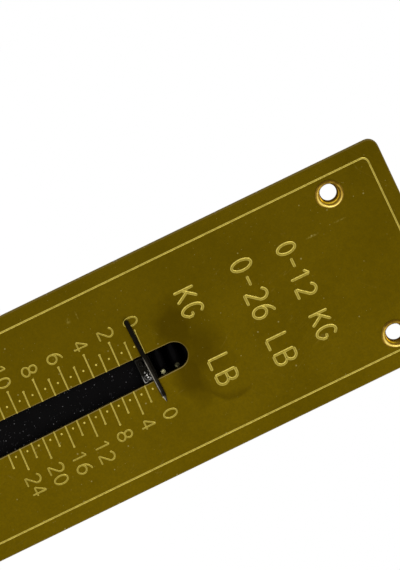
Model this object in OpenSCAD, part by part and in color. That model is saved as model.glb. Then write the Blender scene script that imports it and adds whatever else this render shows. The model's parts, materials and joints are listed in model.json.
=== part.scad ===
/* [Scale] */
// Heaviest load on the scale, in kilograms
capacity = 12; // [6:1:20]
// Distance between two one-kilogram lines
line_pitch = 2.0; // [1.4:0.1:3]
// Height of the pointer's middle against the zero line
pointer_rest = -0.28; // [-0.5:0.02:0.5]

/* [Face plate] */
// Width of the brass face
face_w = 32.4; // [28:0.2:42]
// Thickness of the brass face
face_t = 0.8; // [0.5:0.1:1.2]
// Radius of the face's four corners
face_corner_r = 1.5; // [0.8:0.1:3]
// Face above the zero line
face_above = 42.5; // [36:0.5:60]
// Face below the last line of the scale
face_below = 18.5; // [16:0.5:30]
// Slot above the zero line
slot_above = 5.5; // [4:0.5:8]
// Slot below the last line of the scale
slot_below = 5.5; // [5:0.5:8]
// Width of the slot near its upper end
slot_w_top = 3.9; // [3.2:0.1:5]
// Width of the slot near its lower end
slot_w_bottom = 5.1; // [3.2:0.1:6]

/* [Eyelets] */
// Gap between an eyelet's washer and the side of the channel
eyelet_side_gap = 1.8; // [0.2:0.1:2.5]
// Eyelet centre in from the end of the face
eyelet_end = 9.15; // [5:0.05:12]
// Open bore of an eyelet
eyelet_bore_d = 2.3; // [1.8:0.1:2.8]
// Wall of an eyelet's tube
eyelet_wall = 0.4; // [0.3:0.05:0.5]
// Radius of the rolled lip
eyelet_roll_r = 0.45; // [0.4:0.05:0.6]
// Thickness of the washer under the rear lip
eyelet_washer_t = 0.3; // [0.2:0.1:0.6]
// Rim of that washer outside the lip
eyelet_washer_rim = 0.25; // [0.05:0.05:0.6]

/* [Back shell] */
// Sheet thickness of the shell
shell_t = 0.9; // [0.6:0.1:1.2]
// Width inside the channel
bay_w = 12.6; // [12.4:0.2:16]
// Outside radius of the channel's bends
bend_r = 2.0; // [1.5:0.1:3]
// Flange edge in from the edge of the face
flange_inset = 0.3; // [0.1:0.1:1]

/* [End pieces] */
// Thickness of the top cap and of the bottom guide
cap_t = 3.0; // [2.4:0.1:5]
// Recess of the end pieces below the face's ends
cap_recess = 0.6; // [0.4:0.1:1.5]
// Shank of a side rivet
rivet_d = 1.4; // [1:0.1:1.8]
// Length of a side rivet inside an end piece
rivet_grip = 2.5; // [1.5:0.1:4]
// Diameter of a side rivet's head
rivet_head_d = 2.6; // [2:0.1:3]
// Height of a side rivet's head
rivet_head_h = 0.7; // [0.4:0.1:1]

/* [Hanging ring and eye bolt] */
// Wire of the hanging ring
ring_wire = 2.4; // [1.8:0.1:3]
// Inside diameter of the hanging ring
ring_in_d = 20; // [16:0.5:30]
// Wire of the eye
eye_wire = 2.2; // [1.8:0.1:3]
// Room of the ring's wire in the eye
eye_room = 1.6; // [1:0.1:3]
// Diameter of the collar under the eye
collar_d = 6.4; // [5:0.1:8]
// Thickness of that collar
collar_t = 1.2; // [0.8:0.1:2]
// How far the eye is set into its collar
eye_set = 0.4; // [0.2:0.1:0.8]
// Diameter of the threaded shank
shank_d = 3.0; // [2.5:0.1:4]
// Shank below the spring's top plug
shank_proud = 0.8; // [0.2:0.1:2]
// Thickness of the washer on the cap
cap_washer_t = 0.4; // [0.3:0.1:0.8]
// Rim of that washer outside the collar
cap_washer_rim = 0.6; // [0.1:0.1:1.5]
// Wall of the lock nut at its flats
nut_wall = 1.25; // [1:0.05:2]
// Thickness of the lock nut
nut_t = 1.8; // [1.4:0.1:3]
// Thickness of the spring's top plug
plug_t = 2.5; // [2:0.1:4]

/* [Spring] */
// Wire of the spring
spring_wire = 1.5; // [1.2:0.05:1.6]
// Outside diameter of the spring
spring_od = 10.5; // [9:0.1:13]
// Least rise from one curl to the next
spring_pitch_min = 2.2; // [2.1:0.05:3]
// Bend that turns each end along the axis
spring_bend_r = 1.2; // [1:0.1:1.5]

/* [Draw bar and slide] */
// Width of the draw bar
bar_w = 7.0; // [6:0.1:8]
// Thickness of the draw bar
bar_t = 1.1; // [0.8:0.1:1.4]
// Gap between the face and the draw bar
bar_gap = 0.4; // [0.3:0.05:0.6]
// Top of the draw bar above the zero line
bar_top = 0.1; // [0:0.05:0.2]
// Straight bar below the case before the joggle
bar_clear = 0.8; // [0.5:0.1:2]
// Straight bar between the joggle and the hook's hole
bar_tail = 3.6; // [3:0.1:8]
// Room of the hook's wire in its hole
hook_room = 0.9; // [0.6:0.1:1.5]
// Metal below the hook's hole
bar_end = 2.0; // [1.5:0.1:3]
// Seat of the spring on the slide block, below the zero line
slide_drop = 2.0; // [1.8:0.1:4]
// Height of the slide block below that seat
slide_h = 5.0; // [3:0.5:7]
// Thickness of the tongue that takes the pointer's rivets
tongue_t = 1.6; // [1:0.1:2.4]
// Metal around the rivets at the tongue's top
tongue_rim = 0.3; // [0.2:0.05:1]

/* [Pointer] */
// Pointer left of the slot's middle
pointer_left = 7.8; // [6:0.1:9]
// Pointer right of the slot's middle
pointer_right = 5.6; // [4:0.1:8]
// Width of the pointer
pointer_w = 0.8; // [0.6:0.05:1]
// Thickness of the pointer
pointer_t = 0.7; // [0.5:0.05:1]
// Length of the pointer's taper
pointer_taper = 1.6; // [1:0.1:3]
// Gap between the pointer and the face
pointer_gap = 0.25; // [0.15:0.05:0.5]
// Gap between the slot's side and the block that carries the pointer
block_gap = 0.14; // [0.1:0.01:0.4]
// Block above the pointer
block_rise = 0.1; // [0:0.05:0.3]
// Rim of the block beside the heads of its rivets
block_side_rim = 0.325; // [0.1:0.025:0.5]
// Rim of the block below those heads
block_low_rim = 0.2; // [0.1:0.05:1]
// Gap between the pointer and those heads
pin_gap = 0.07; // [0.05:0.01:0.5]
// Shank of a pointer rivet
pin_d = 0.6; // [0.5:0.05:0.8]
// Head of a pointer rivet
pin_head_d = 1.0; // [0.8:0.05:1.1]
// Height of a pointer rivet's head
pin_head_h = 0.25; // [0.15:0.05:0.4]

/* [Load hook] */
// Wire of the hook
hook_wire = 2.6; // [2.2:0.1:3.2]
// Room of the draw bar's end in the hook's eye
hook_eye_room = 2.15; // [1.5:0.05:4]
// Straight shank below the eye
hook_shank = 4.0; // [2:0.5:10]
// Radius of the neck's bend, at the middle of the wire
hook_neck_r = 4.0; // [3:0.5:8]
// Radius of the bowl, at the middle of the wire
hook_bowl_r = 7.0; // [6:0.5:12]
// Angle of the point above the bowl's middle
hook_point_angle = 15; // [0:1:30]
// Length of the tapered point
hook_point = 2.0; // [1:0.5:4]
// Diameter of the point's end
hook_point_d = 1.5; // [1:0.1:2]
// How much thicker the wire is where one bend runs into the next
hook_swell = 0.04; // [0.02:0.01:0.1]

/* [Fits] */
// Gap between pieces that are fixed together
fit_gap = 0.05; // [0.02:0.01:0.1]
// Gap around pieces that slide
run_gap = 0.2; // [0.15:0.05:0.3]
// Gap between the slide block and the channel
slide_gap = 0.3; // [0.2:0.05:0.4]
// Gap where one link hangs in another
link_gap = 0.25; // [0.2:0.05:0.4]
// Gap around the spring, to the face and to the back of the channel
spring_gap = 0.45; // [0.4:0.05:1]
// Gap around the spring's top plug
plug_gap = 0.2; // [0.1:0.05:0.5]

/* [Hidden] */
$fn = 64;

// Heights, from the ring's inside top down to the bottom of the case
ring_r = (ring_in_d + ring_wire) / 2;
ring_z = -ring_in_d / 2;
ring_low_z = ring_z - ring_r;
eye_in_d = ring_wire + eye_room;
eye_r = (eye_in_d + eye_wire) / 2;
eye_z = ring_low_z + ring_wire / 2 + link_gap - eye_in_d / 2;
collar_top_z = eye_z - eye_r - eye_wire / 2 + eye_set;
washer_top_z = collar_top_z - collar_t;
cap_top_z = washer_top_z - cap_washer_t;
case_top_z = cap_top_z + cap_recess;
zero_z = case_top_z - face_above;
travel = capacity * line_pitch;
last_z = zero_z - travel;
case_bottom_z = last_z - face_below;
case_len = case_top_z - case_bottom_z;
nut_top_z = cap_top_z - cap_t;
plug_top_z = nut_top_z - nut_t;
plug_low_z = plug_top_z - plug_t;
guide_low_z = case_bottom_z + cap_recess;
slot_top_z = zero_z + slot_above;
slot_low_z = last_z - slot_below;

// Depths, front to back
bay_d = spring_od + 2 * spring_gap;
bay_front_y = -bay_d / 2;
bay_back_y = bay_d / 2;
face_front_y = bay_front_y - face_t;
shell_back_y = bay_back_y + shell_t;
bar_front_y = bay_front_y + bar_gap;
bar_back_y = bar_front_y + bar_t;
bar_y = bar_front_y + bar_t / 2;
block_front_y = face_front_y - pointer_gap;

// Eyelet places and radii
shell_half_w = bay_w / 2 + shell_t;
eyelet_washer_d = eyelet_bore_d + 4 * eyelet_roll_r + 2 * eyelet_washer_rim;
eyelet_x = shell_half_w + eyelet_side_gap + eyelet_washer_d / 2;
eyelet_z = [case_bottom_z + eyelet_end, case_top_z - eyelet_end];
eyelet_tube_r = eyelet_bore_d / 2 + eyelet_wall;
eyelet_hole_r = eyelet_tube_r + fit_gap;
eyelet_stack = face_t + shell_t + eyelet_washer_t;

// Round pieces on the eye bolt's shank
cap_washer_d = collar_d + 2 * cap_washer_rim;
nut_flats = shank_d + 2 * nut_wall;
plug_d = bay_d - 2 * plug_gap;

// Spring: whole curls between the two bends, drawn out to fill the room
spring_r = (spring_od - spring_wire) / 2;
slide_top_z = zero_z - slide_drop;
coil_low_z = slide_top_z + spring_wire + spring_bend_r;
coil_top_z = plug_low_z - spring_wire - spring_bend_r;
spring_curls = floor((coil_top_z - coil_low_z) / spring_pitch_min);
spring_pitch = (coil_top_z - coil_low_z) / spring_curls;
rings_per_curl = 8;
bend_rings = 4;
tube_sides = 6;

// Half width of the slot at height z
function slot_half(z) = let (r0 = slot_w_top / 2, r1 = slot_w_bottom / 2)
    r0 + (r1 - r0) * (slot_top_z - r0 - z) / (slot_top_z - slot_low_z - r0 - r1);

// Pointer's block and rivets: the block passes the slot at zero and at the last line
pin_below = pointer_w / 2 - pointer_rest + pin_gap + pin_head_d / 2;
block_low_z = zero_z - pin_below - pin_head_d / 2 - block_low_rim;
block_top_z = zero_z + pointer_rest + pointer_w / 2 + block_rise;
block_w = 2 * (min(slot_half(block_top_z), slot_half(block_low_z - travel)) - block_gap);
pin_side = block_w / 2 - pin_head_d / 2 - block_side_rim;

// Draw bar: joggle back to the spring's axis, at 45 degrees
hook_hole_d = hook_wire + hook_room;
joggle_top_z = case_bottom_z - bar_clear;
joggle_low_z = joggle_top_z + bar_y;
hook_hole_z = joggle_low_z - bar_tail;
bar_low_z = hook_hole_z - hook_hole_d / 2 - bar_end;

// Hook: eye, shank, neck bend and bowl, at the middle of the wire
hook_pivot_z = hook_hole_z - hook_hole_d / 2 + hook_wire / 2 + link_gap;
hook_eye_d = max(bar_end, (bar_w - hook_hole_d) / 2) + link_gap + hook_eye_room;
hook_eye_r = (hook_eye_d + hook_wire) / 2;
hook_eye_z = hook_pivot_z - hook_eye_r;
neck_z = hook_eye_z - hook_eye_r - hook_shank;
neck_to_bowl = hook_neck_r + hook_bowl_r;
bowl_z = neck_z - sqrt(neck_to_bowl * neck_to_bowl - hook_neck_r * hook_neck_r);
neck_angle = acos(hook_neck_r / neck_to_bowl);

// Shapes that more than one sub-part uses

// Rectangle with round corners, centred in X, from z0 to z1
module round_rect(w, z0, z1, r) {
    translate([-w / 2 + r, z0]) square([w - 2 * r, z1 - z0]);
    translate([-w / 2, z0 + r]) square([w, z1 - z0 - 2 * r]);
    for (x = [-w / 2 + r, w / 2 - r], z = [z0 + r, z1 - r]) translate([x, z]) circle(r);
}

// Stands a drawing of X against Z up, from depth y_front back to y_back
module upright(y_front, y_back) {
    translate([0, y_back, 0]) rotate([90, 0, 0]) linear_extrude(y_back - y_front) children();
}

// Section in the XY plane with round rear corners: half width w, from y0 back to y1
module channel_section(w, y0, y1, r) {
    translate([-w, y0]) square([2 * w, y1 - y0 - r]);
    translate([-w + r, y0]) square([2 * (w - r), y1 - y0]);
    for (x = [-w + r, w - r]) translate([x, y1 - r]) circle(r);
}

// Round wire bent to an arc in the XY plane, from angle a through turn degrees
module arc_wire(r, wire, a, turn) {
    rotate([0, 0, a]) rotate_extrude(angle = turn) translate([r, 0]) circle(d = wire);
}

// Domed rivet along +X: head on the plane x = 0, shank reaching back from it
module side_rivet() {
    dome_r = (pow(rivet_head_d / 2, 2) + pow(rivet_head_h, 2)) / (2 * rivet_head_h);
    rotate([0, 90, 0]) {
        rotate_extrude() intersection() {
            translate([0, rivet_head_h - dome_r]) circle(dome_r);
            square([rivet_head_d / 2, rivet_head_h]);
        }
        translate([0, 0, -shell_t - rivet_grip]) cylinder(d = rivet_d, h = shell_t + rivet_grip);
    }
}

// Pair of side rivets through the channel's walls at height z
module side_rivets(z) {
    for (side = [0, 1]) mirror([side, 0, 0]) translate([shell_half_w, 0, z]) side_rivet();
}

// Block that fills the channel from z0 to z0 + cap_t, with the rivets' holes
module end_block(z0) {
    difference() {
        translate([0, 0, z0]) linear_extrude(cap_t) channel_section(bay_w / 2 - fit_gap,
            bay_front_y + fit_gap, bay_back_y - fit_gap, bend_r - shell_t);
        for (side = [0, 1]) mirror([side, 0, 0])
            translate([bay_w / 2 - rivet_grip - fit_gap, 0, z0 + cap_t / 2]) rotate([0, 90, 0])
                cylinder(d = rivet_d + 2 * fit_gap, h = rivet_grip + 1);
    }
}

// Sub-parts of the case

module slot_outline() {
    r_top = slot_w_top / 2;
    r_low = slot_w_bottom / 2;
    z_top = slot_top_z - r_top;
    z_low = slot_low_z + r_low;
    polygon([[-r_low, z_low], [r_low, z_low], [r_top, z_top], [-r_top, z_top]]);
    translate([0, z_top]) circle(r_top);
    translate([0, z_low]) circle(r_low);
}

module eyelet_holes() {
    for (x = [-eyelet_x, eyelet_x], z = eyelet_z) translate([x, z]) circle(eyelet_hole_r);
}

module face_plate() {
    color("#6b5512") upright(face_front_y, bay_front_y) difference() {
        round_rect(face_w, case_bottom_z, case_top_z, face_corner_r);
        slot_outline();
        eyelet_holes();
    }
}

module back_shell() {
    flange_w = face_w - 2 * flange_inset;
    color("#1d1c1e") difference() {
        intersection() {
            translate([0, 0, case_bottom_z]) linear_extrude(case_len) difference() {
                union() {
                    translate([-flange_w / 2, bay_front_y]) square([flange_w, shell_t]);
                    channel_section(shell_half_w, bay_front_y, shell_back_y, bend_r);
                }
                channel_section(bay_w / 2, bay_front_y - 1, bay_back_y, bend_r - shell_t);
            }
            upright(bay_front_y, shell_back_y) round_rect(flange_w, case_bottom_z + flange_inset,
                case_top_z - flange_inset, face_corner_r - flange_inset);
        }
        upright(bay_front_y - 1, bay_front_y + shell_t + 1) eyelet_holes();
        for (z = [cap_top_z - cap_t / 2, guide_low_z + cap_t / 2])
            translate([-shell_half_w - 1, 0, z]) rotate([0, 90, 0])
                cylinder(d = rivet_d + 2 * fit_gap, h = 2 * shell_half_w + 2);
    }
}

// One eyelet: tube through face, flange and washer, with a half-round lip at each end
module eyelet() {
    lip_r = eyelet_bore_d / 2 + eyelet_roll_r;
    rotate([90, 0, 0]) rotate_extrude() {
        translate([eyelet_bore_d / 2, -eyelet_stack]) square([eyelet_wall, eyelet_stack]);
        intersection() {
            translate([lip_r, 0]) circle(eyelet_roll_r);
            translate([eyelet_bore_d / 2, 0]) square([2 * eyelet_roll_r, eyelet_roll_r]);
        }
        intersection() {
            translate([lip_r, -eyelet_stack]) circle(eyelet_roll_r);
            translate([eyelet_bore_d / 2, -eyelet_stack - eyelet_roll_r])
                square([2 * eyelet_roll_r, eyelet_roll_r]);
        }
    }
}

module corner_eyelets() {
    color("#b0801c") for (x = [-eyelet_x, eyelet_x], z = eyelet_z)
        translate([x, face_front_y, z]) eyelet();
}

module eyelet_washers() {
    back_y = bay_front_y + shell_t;
    color("#a87f24") for (x = [-eyelet_x, eyelet_x], z = eyelet_z)
        upright(back_y, back_y + eyelet_washer_t) difference() {
            translate([x, z]) circle(d = eyelet_washer_d);
            translate([x, z]) circle(eyelet_hole_r);
        }
}

module top_cap() {
    color("#26252a") difference() {
        end_block(cap_top_z - cap_t);
        translate([0, 0, cap_top_z - cap_t - 1]) cylinder(d = shank_d + 2 * fit_gap, h = cap_t + 2);
    }
}

module top_cap_rivets() {
    color("#3a393c") side_rivets(cap_top_z - cap_t / 2);
}

module eye_bolt() {
    color("#7d7b78") {
        translate([0, 0, eye_z]) rotate([0, 90, 0]) arc_wire(eye_r, eye_wire, 0, 360);
        translate([0, 0, washer_top_z]) cylinder(d = collar_d, h = collar_t);
        translate([0, 0, plug_low_z - shank_proud])
            cylinder(d = shank_d, h = washer_top_z - plug_low_z + shank_proud);
    }
}

module cap_washer() {
    color("#8a8784") translate([0, 0, cap_top_z]) difference() {
        cylinder(d = cap_washer_d, h = cap_washer_t);
        translate([0, 0, -1]) cylinder(d = shank_d + 2 * fit_gap, h = cap_washer_t + 2);
    }
}

module lock_nut() {
    color("#6f6d6b") translate([0, 0, plug_top_z]) difference() {
        cylinder(r = nut_flats / 2 / cos(30), h = nut_t, $fn = 6);
        translate([0, 0, -1]) cylinder(d = shank_d + 2 * fit_gap, h = nut_t + 2);
    }
}

module spring_top_plug() {
    color("#5e5c5a") translate([0, 0, plug_low_z]) difference() {
        cylinder(d = plug_d, h = plug_t);
        translate([0, 0, -1]) cylinder(d = shank_d + 2 * fit_gap, h = plug_t + 2);
    }
}

// Spring, as one tube along a line of points

// Point on the left-hand coil after a whole or part number of curls
function coil_point(c) = [spring_r * cos(360 * c), -spring_r * sin(360 * c), coil_low_z + spring_pitch * c];

// Point on the bend at an end: a runs from 0 on the coil to 90 along the axis, up is 1 or -1
function bend_point(a, up) =
    let (base = up > 0 ? coil_point(spring_curls) : coil_point(0))
    base + [0, -up * spring_bend_r * sin(a), up * spring_bend_r * (1 - cos(a))];

spring_line = concat(
    [bend_point(90, -1) - [0, 0, spring_wire]],
    [for (i = [bend_rings : -1 : 1]) bend_point(90 * i / bend_rings, -1)],
    [for (i = [0 : spring_curls * rings_per_curl]) coil_point(i / rings_per_curl)],
    [for (i = [1 : bend_rings]) bend_point(90 * i / bend_rings, 1)],
    [bend_point(90, 1) + [0, 0, spring_wire]]);

function unit(v) = v / norm(v);

// Direction of the line at point i, halfway between its neighbours and straight up at its two ends
function line_dir(i) = let (n = len(spring_line) - 1)
    i == 0 || i == n ? [0, 0, 1] : unit(unit(spring_line[i + 1] - spring_line[i])
        + unit(spring_line[i] - spring_line[i - 1]));

// One six-sided ring of the tube, square to the line; it starts from the side away from the axis
function tube_ring(i) =
    let (d = line_dir(i), p = spring_line[i], out = unit([p.x, p.y, 0]),
        side = unit(cross(d, out)), up = cross(side, d))
    [for (k = [0 : tube_sides - 1]) p + spring_wire / 2
        * (up * cos(360 * k / tube_sides) + side * sin(360 * k / tube_sides))];

module main_spring() {
    n = len(spring_line);
    s = tube_sides;
    points = [for (i = [0 : n - 1]) each tube_ring(i)];
    walls = [for (i = [0 : n - 2], k = [0 : s - 1]) let (a = i * s + k, b = i * s + (k + 1) % s)
        each [[a, b + s, b], [a, a + s, b + s]]];
    ends = [for (k = [1 : s - 2]) each [[0, k, k + 1], [(n - 1) * s, (n - 1) * s + k + 1, (n - 1) * s + k]]];
    color("#3b3a3f") polyhedron(points, concat(walls, ends), convexity = 10);
}

// Distance from point p to the stretch between a and b
function to_stretch(p, a, b) = let (t = max(0, min(1, (p - a) * (b - a) / ((b - a) * (b - a)))))
    norm(p - a - t * (b - a));

// Least gap of the tube to itself, between stretches that lie most of a curl apart along the line
apart = rings_per_curl - 1;
spring_self_gap = min([for (i = [0 : len(spring_line) - apart - 2])
    min([for (j = [i + apart : len(spring_line) - 2])
        to_stretch(spring_line[i], spring_line[j], spring_line[j + 1])])]) - spring_wire;
echo(spring_curls = spring_curls, spring_pitch = spring_pitch, spring_self_gap = spring_self_gap);

// Sub-parts that the load draws down

module slide_block() {
    tongue_top_z = zero_z - pin_below + pin_d / 2 + tongue_rim;
    color("#4c4a49") difference() {
        union() {
            translate([0, 0, slide_top_z - slide_h]) linear_extrude(slide_h) channel_section(
                bay_w / 2 - slide_gap, bar_back_y, bay_back_y - slide_gap, bend_r - shell_t);
            translate([-bar_w / 2, bar_back_y, slide_top_z - slide_h])
                cube([bar_w, tongue_t, tongue_top_z - slide_top_z + slide_h]);
        }
        pin_holes();
    }
}

module pin_holes() {
    for (x = [-pin_side, pin_side]) translate([x, block_front_y - 1, zero_z - pin_below])
        rotate([-90, 0, 0]) cylinder(d = pin_d + 2 * fit_gap, h = bay_d);
}

// Flat strip from p to q, given as [y, z], with a round edge along each end
module strip(p, q) {
    run = q - p;
    translate([0, p[0], p[1]]) rotate([atan2(run[1], run[0]), 0, 0]) {
        translate([-bar_w / 2, 0, -bar_t / 2]) cube([bar_w, norm(run), bar_t]);
        for (y = [0, norm(run)]) translate([0, y, 0]) rotate([0, 90, 0])
            cylinder(d = bar_t, h = bar_w, center = true);
    }
}

module draw_bar() {
    bar_top_z = zero_z + bar_top;
    color("#1a191a") difference() {
        intersection() {
            union() {
                strip([bar_y, bar_top_z], [bar_y, joggle_top_z]);
                strip([bar_y, joggle_top_z], [0, joggle_low_z]);
                strip([0, joggle_low_z], [0, bar_low_z]);
            }
            upright(bar_front_y - 1, bay_back_y) {
                translate([-bar_w / 2, bar_low_z + bar_w / 2])
                    square([bar_w, bar_top_z - bar_low_z - bar_w / 2]);
                translate([0, bar_low_z + bar_w / 2]) circle(bar_w / 2);
            }
        }
        translate([0, -bar_t, hook_hole_z]) rotate([-90, 0, 0]) cylinder(d = hook_hole_d, h = 2 * bar_t);
        pin_holes();
    }
}

module pointer_block() {
    color("#8f8b84") difference() {
        translate([-block_w / 2, block_front_y, block_low_z])
            cube([block_w, bar_front_y - block_front_y, block_top_z - block_low_z]);
        pin_holes();
    }
}

module pointer() {
    w = pointer_w / 2;
    z = zero_z + pointer_rest;
    color("#4a484a") intersection() {
        upright(block_front_y - pointer_t, block_front_y) {
            polygon([[-pointer_left + w, z - w], [pointer_right - pointer_taper, z - w], [pointer_right, z],
                [pointer_right - pointer_taper, z + w], [-pointer_left + w, z + w]]);
            translate([-pointer_left + w, z]) circle(w);
        }
        translate([-pointer_left, block_front_y, z]) rotate([90, 0, 90])
            linear_extrude(pointer_left + pointer_right)
                polygon([[0, -w], [0, w], [-pointer_t * 0.45, w], [-pointer_t, w * 0.3],
                    [-pointer_t, -w * 0.3], [-pointer_t * 0.45, -w]]);
    }
}

module pointer_rivets() {
    dome_r = (pow(pin_head_d / 2, 2) + pow(pin_head_h, 2)) / (2 * pin_head_h);
    depth = bar_back_y + tongue_t - block_front_y;
    color("#b5aea0") for (x = [-pin_side, pin_side])
        translate([x, block_front_y, zero_z - pin_below]) rotate([90, 0, 0]) {
            rotate_extrude() intersection() {
                translate([0, pin_head_h - dome_r]) circle(dome_r);
                square([pin_head_d / 2, pin_head_h]);
            }
            translate([0, 0, -depth]) cylinder(d = pin_d, h = depth);
        }
}

module bottom_guide() {
    window_w = bar_w + 2 * run_gap;
    color("#26252a") difference() {
        end_block(guide_low_z);
        translate([-window_w / 2, bay_front_y - 1, guide_low_z - 1])
            cube([window_w, bar_back_y + run_gap - bay_front_y + 1, cap_t + 2]);
    }
}

module bottom_guide_rivets() {
    color("#3a393c") side_rivets(guide_low_z + cap_t / 2);
}

module hang_ring() {
    color("#8b8883") translate([0, 0, ring_z]) rotate([90, 0, 0]) arc_wire(ring_r, ring_wire, 0, 360);
}

// Slight swelling of the wire between two bends
module hook_knuckle() {
    sphere(d = hook_wire + hook_swell);
}

// Neck and bowl lie in the XZ plane, the eye across them in the YZ plane
module load_hook() {
    color("#85827e") {
        translate([0, 0, hook_eye_z]) rotate([0, 90, 0]) arc_wire(hook_eye_r, hook_wire, 0, 360);
        translate([0, 0, neck_z]) cylinder(d = hook_wire, h = hook_shank);
        translate([0, 0, neck_z]) hook_knuckle();
        translate([-hook_neck_r, 0, neck_z]) rotate([90, 0, 0])
            arc_wire(hook_neck_r, hook_wire, -neck_angle, neck_angle);
        translate([0, 0, bowl_z]) rotate([90, 0, 0]) {
            arc_wire(hook_bowl_r, hook_wire, 180 - neck_angle, 180 + neck_angle + hook_point_angle);
            rotate([0, 0, 180 - neck_angle]) translate([hook_bowl_r, 0, 0]) hook_knuckle();
            rotate([0, 0, hook_point_angle]) translate([hook_bowl_r, 0, 0]) rotate([-90, 0, 0]) {
                hook_knuckle();
                cylinder(d1 = hook_wire, d2 = hook_point_d, h = hook_point);
                translate([0, 0, hook_point]) sphere(d = hook_point_d);
            }
        }
    }
}

face_plate();
back_shell();
corner_eyelets();
eyelet_washers();
top_cap();
top_cap_rivets();
eye_bolt();
cap_washer();
lock_nut();
spring_top_plug();
main_spring();
slide_block();
draw_bar();
pointer_block();
pointer();
pointer_rivets();
bottom_guide();
bottom_guide_rivets();
hang_ring();
load_hook();
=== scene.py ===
import json

import bmesh
import bpy
import numpy as np
from mathutils import Matrix, Vector

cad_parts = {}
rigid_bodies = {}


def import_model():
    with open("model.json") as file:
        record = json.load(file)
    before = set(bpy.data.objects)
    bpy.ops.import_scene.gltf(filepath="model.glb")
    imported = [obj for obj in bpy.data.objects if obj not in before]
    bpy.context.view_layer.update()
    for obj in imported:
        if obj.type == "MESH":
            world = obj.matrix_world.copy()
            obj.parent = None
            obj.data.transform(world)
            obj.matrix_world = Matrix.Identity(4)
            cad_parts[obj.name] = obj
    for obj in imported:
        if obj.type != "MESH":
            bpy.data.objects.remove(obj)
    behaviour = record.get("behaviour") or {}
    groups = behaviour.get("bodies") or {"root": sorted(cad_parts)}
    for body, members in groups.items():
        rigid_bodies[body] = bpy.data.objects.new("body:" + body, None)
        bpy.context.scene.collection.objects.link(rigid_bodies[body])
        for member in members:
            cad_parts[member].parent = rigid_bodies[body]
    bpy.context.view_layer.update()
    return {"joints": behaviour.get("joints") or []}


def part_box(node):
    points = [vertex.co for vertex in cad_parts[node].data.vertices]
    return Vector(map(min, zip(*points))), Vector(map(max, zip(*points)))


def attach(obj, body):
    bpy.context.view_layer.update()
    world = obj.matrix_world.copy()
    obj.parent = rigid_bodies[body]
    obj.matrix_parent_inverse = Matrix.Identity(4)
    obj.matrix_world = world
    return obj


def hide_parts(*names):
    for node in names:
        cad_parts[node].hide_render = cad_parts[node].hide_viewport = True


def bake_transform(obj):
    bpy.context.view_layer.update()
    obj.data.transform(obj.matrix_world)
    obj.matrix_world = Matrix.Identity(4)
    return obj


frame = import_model()
mm = 0.001

# Camera, floor and light
# The camera looks at the face from slightly left of square, with the scale's upper end rolled to the
# upper right. The scale hangs over a pale floor in an evenly lit white room.

face_low, face_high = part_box("face_plate")
pointer_low, pointer_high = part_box("pointer")
hook_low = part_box("load_hook")[0]
zero_over_pointer = 0.28 * mm
zero_z = (pointer_low.z + pointer_high.z) / 2 + zero_over_pointer
travel = frame["joints"][0]["range_m"][1]

camera_side = np.radians(13)
camera_roll = np.radians(25.84)
camera_distance = 0.6
view_height = 80.85 * mm
view_centre = Vector((-7.6 * mm, face_low.y, zero_z + 11.23 * mm))
sensor = 36.0
upright = Vector((0, 0, 1))
across = Vector((np.cos(camera_side), -np.sin(camera_side), 0))
back = Vector((-np.sin(camera_side), -np.cos(camera_side), 0))
right = upright * np.cos(camera_roll) + across * np.sin(camera_roll)
up = upright * np.sin(camera_roll) - across * np.cos(camera_roll)
camera_data = bpy.data.cameras.new("camera")
camera_data.sensor_width = sensor
camera_data.lens = sensor * camera_distance / view_height
camera_data.clip_start = 0.05
camera_data.clip_end = 20
camera = bpy.data.objects.new("camera", camera_data)
turn = Matrix((right, up, back)).transposed().to_4x4()
camera.matrix_world = Matrix.Translation(view_centre + back * camera_distance) @ turn
objects = bpy.context.scene.collection.objects
objects.link(camera)
bpy.context.scene.camera = camera
bpy.context.scene.view_settings.view_transform = "Standard"


class Reading:
    """Value of a shader node's output at every point. Sums, products and powers of readings and numbers each
    add the node that works them out."""

    def __init__(self, socket):
        self.socket = socket

    def reckoned(self, operation, a, b):
        return reading(self.socket.id_data, "Math", {0: a, 1: b}, operation=operation)

    def __add__(self, other):
        return self.reckoned("ADD", self, other)

    def __sub__(self, other):
        return self.reckoned("SUBTRACT", self, other)

    def __rsub__(self, other):
        return self.reckoned("SUBTRACT", other, self)

    def __mul__(self, other):
        return self.reckoned("MULTIPLY", self, other)

    def __truediv__(self, other):
        return self.reckoned("DIVIDE", self, other)

    def __pow__(self, other):
        return self.reckoned("POWER", self, other)

    def __abs__(self):
        return self.reckoned("ABSOLUTE", self, 0)


def wired(made, inputs):
    """Gives a node's inputs plain values, or links them to readings."""
    for name, value in inputs.items():
        if isinstance(value, Reading):
            made.id_data.links.new(value.socket, made.inputs[name])
        else:
            made.inputs[name].default_value = value
    return made


def shader(tree, kind, inputs, **settings):
    """New shader node of a kind, with its settings and inputs."""
    made = tree.nodes.new("ShaderNode" + kind)
    for name, value in settings.items():
        setattr(made, name, value)
    return wired(made, inputs)


def reading(tree, kind, inputs, output=0, **settings):
    """Reading of one output of a new shader node."""
    return Reading(shader(tree, kind, inputs, **settings).outputs[output])


def larger(a, b):
    """The larger of a reading and another reading or number, point by point."""
    return a.reckoned("MAXIMUM", a, b)


def seen_straight(tree):
    """1 for what the camera sees directly, in a mirror or through glass, and 0 where it lights a surface."""
    rays = shader(tree, "LightPath", {}).outputs
    kinds = ("Camera", "Glossy", "Transmission")
    straight, mirrored, through = (Reading(rays[f"Is {kind} Ray"]) for kind in kinds)
    return larger(larger(straight, mirrored), through)


def coated(recipe):
    """New material named after its recipe. The recipe works out the shader's inputs on the node tree."""
    made = bpy.data.materials.new(recipe.__name__)
    made.use_nodes = True
    wired(made.node_tree.nodes["Principled BSDF"], recipe(made.node_tree))
    return made


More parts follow.
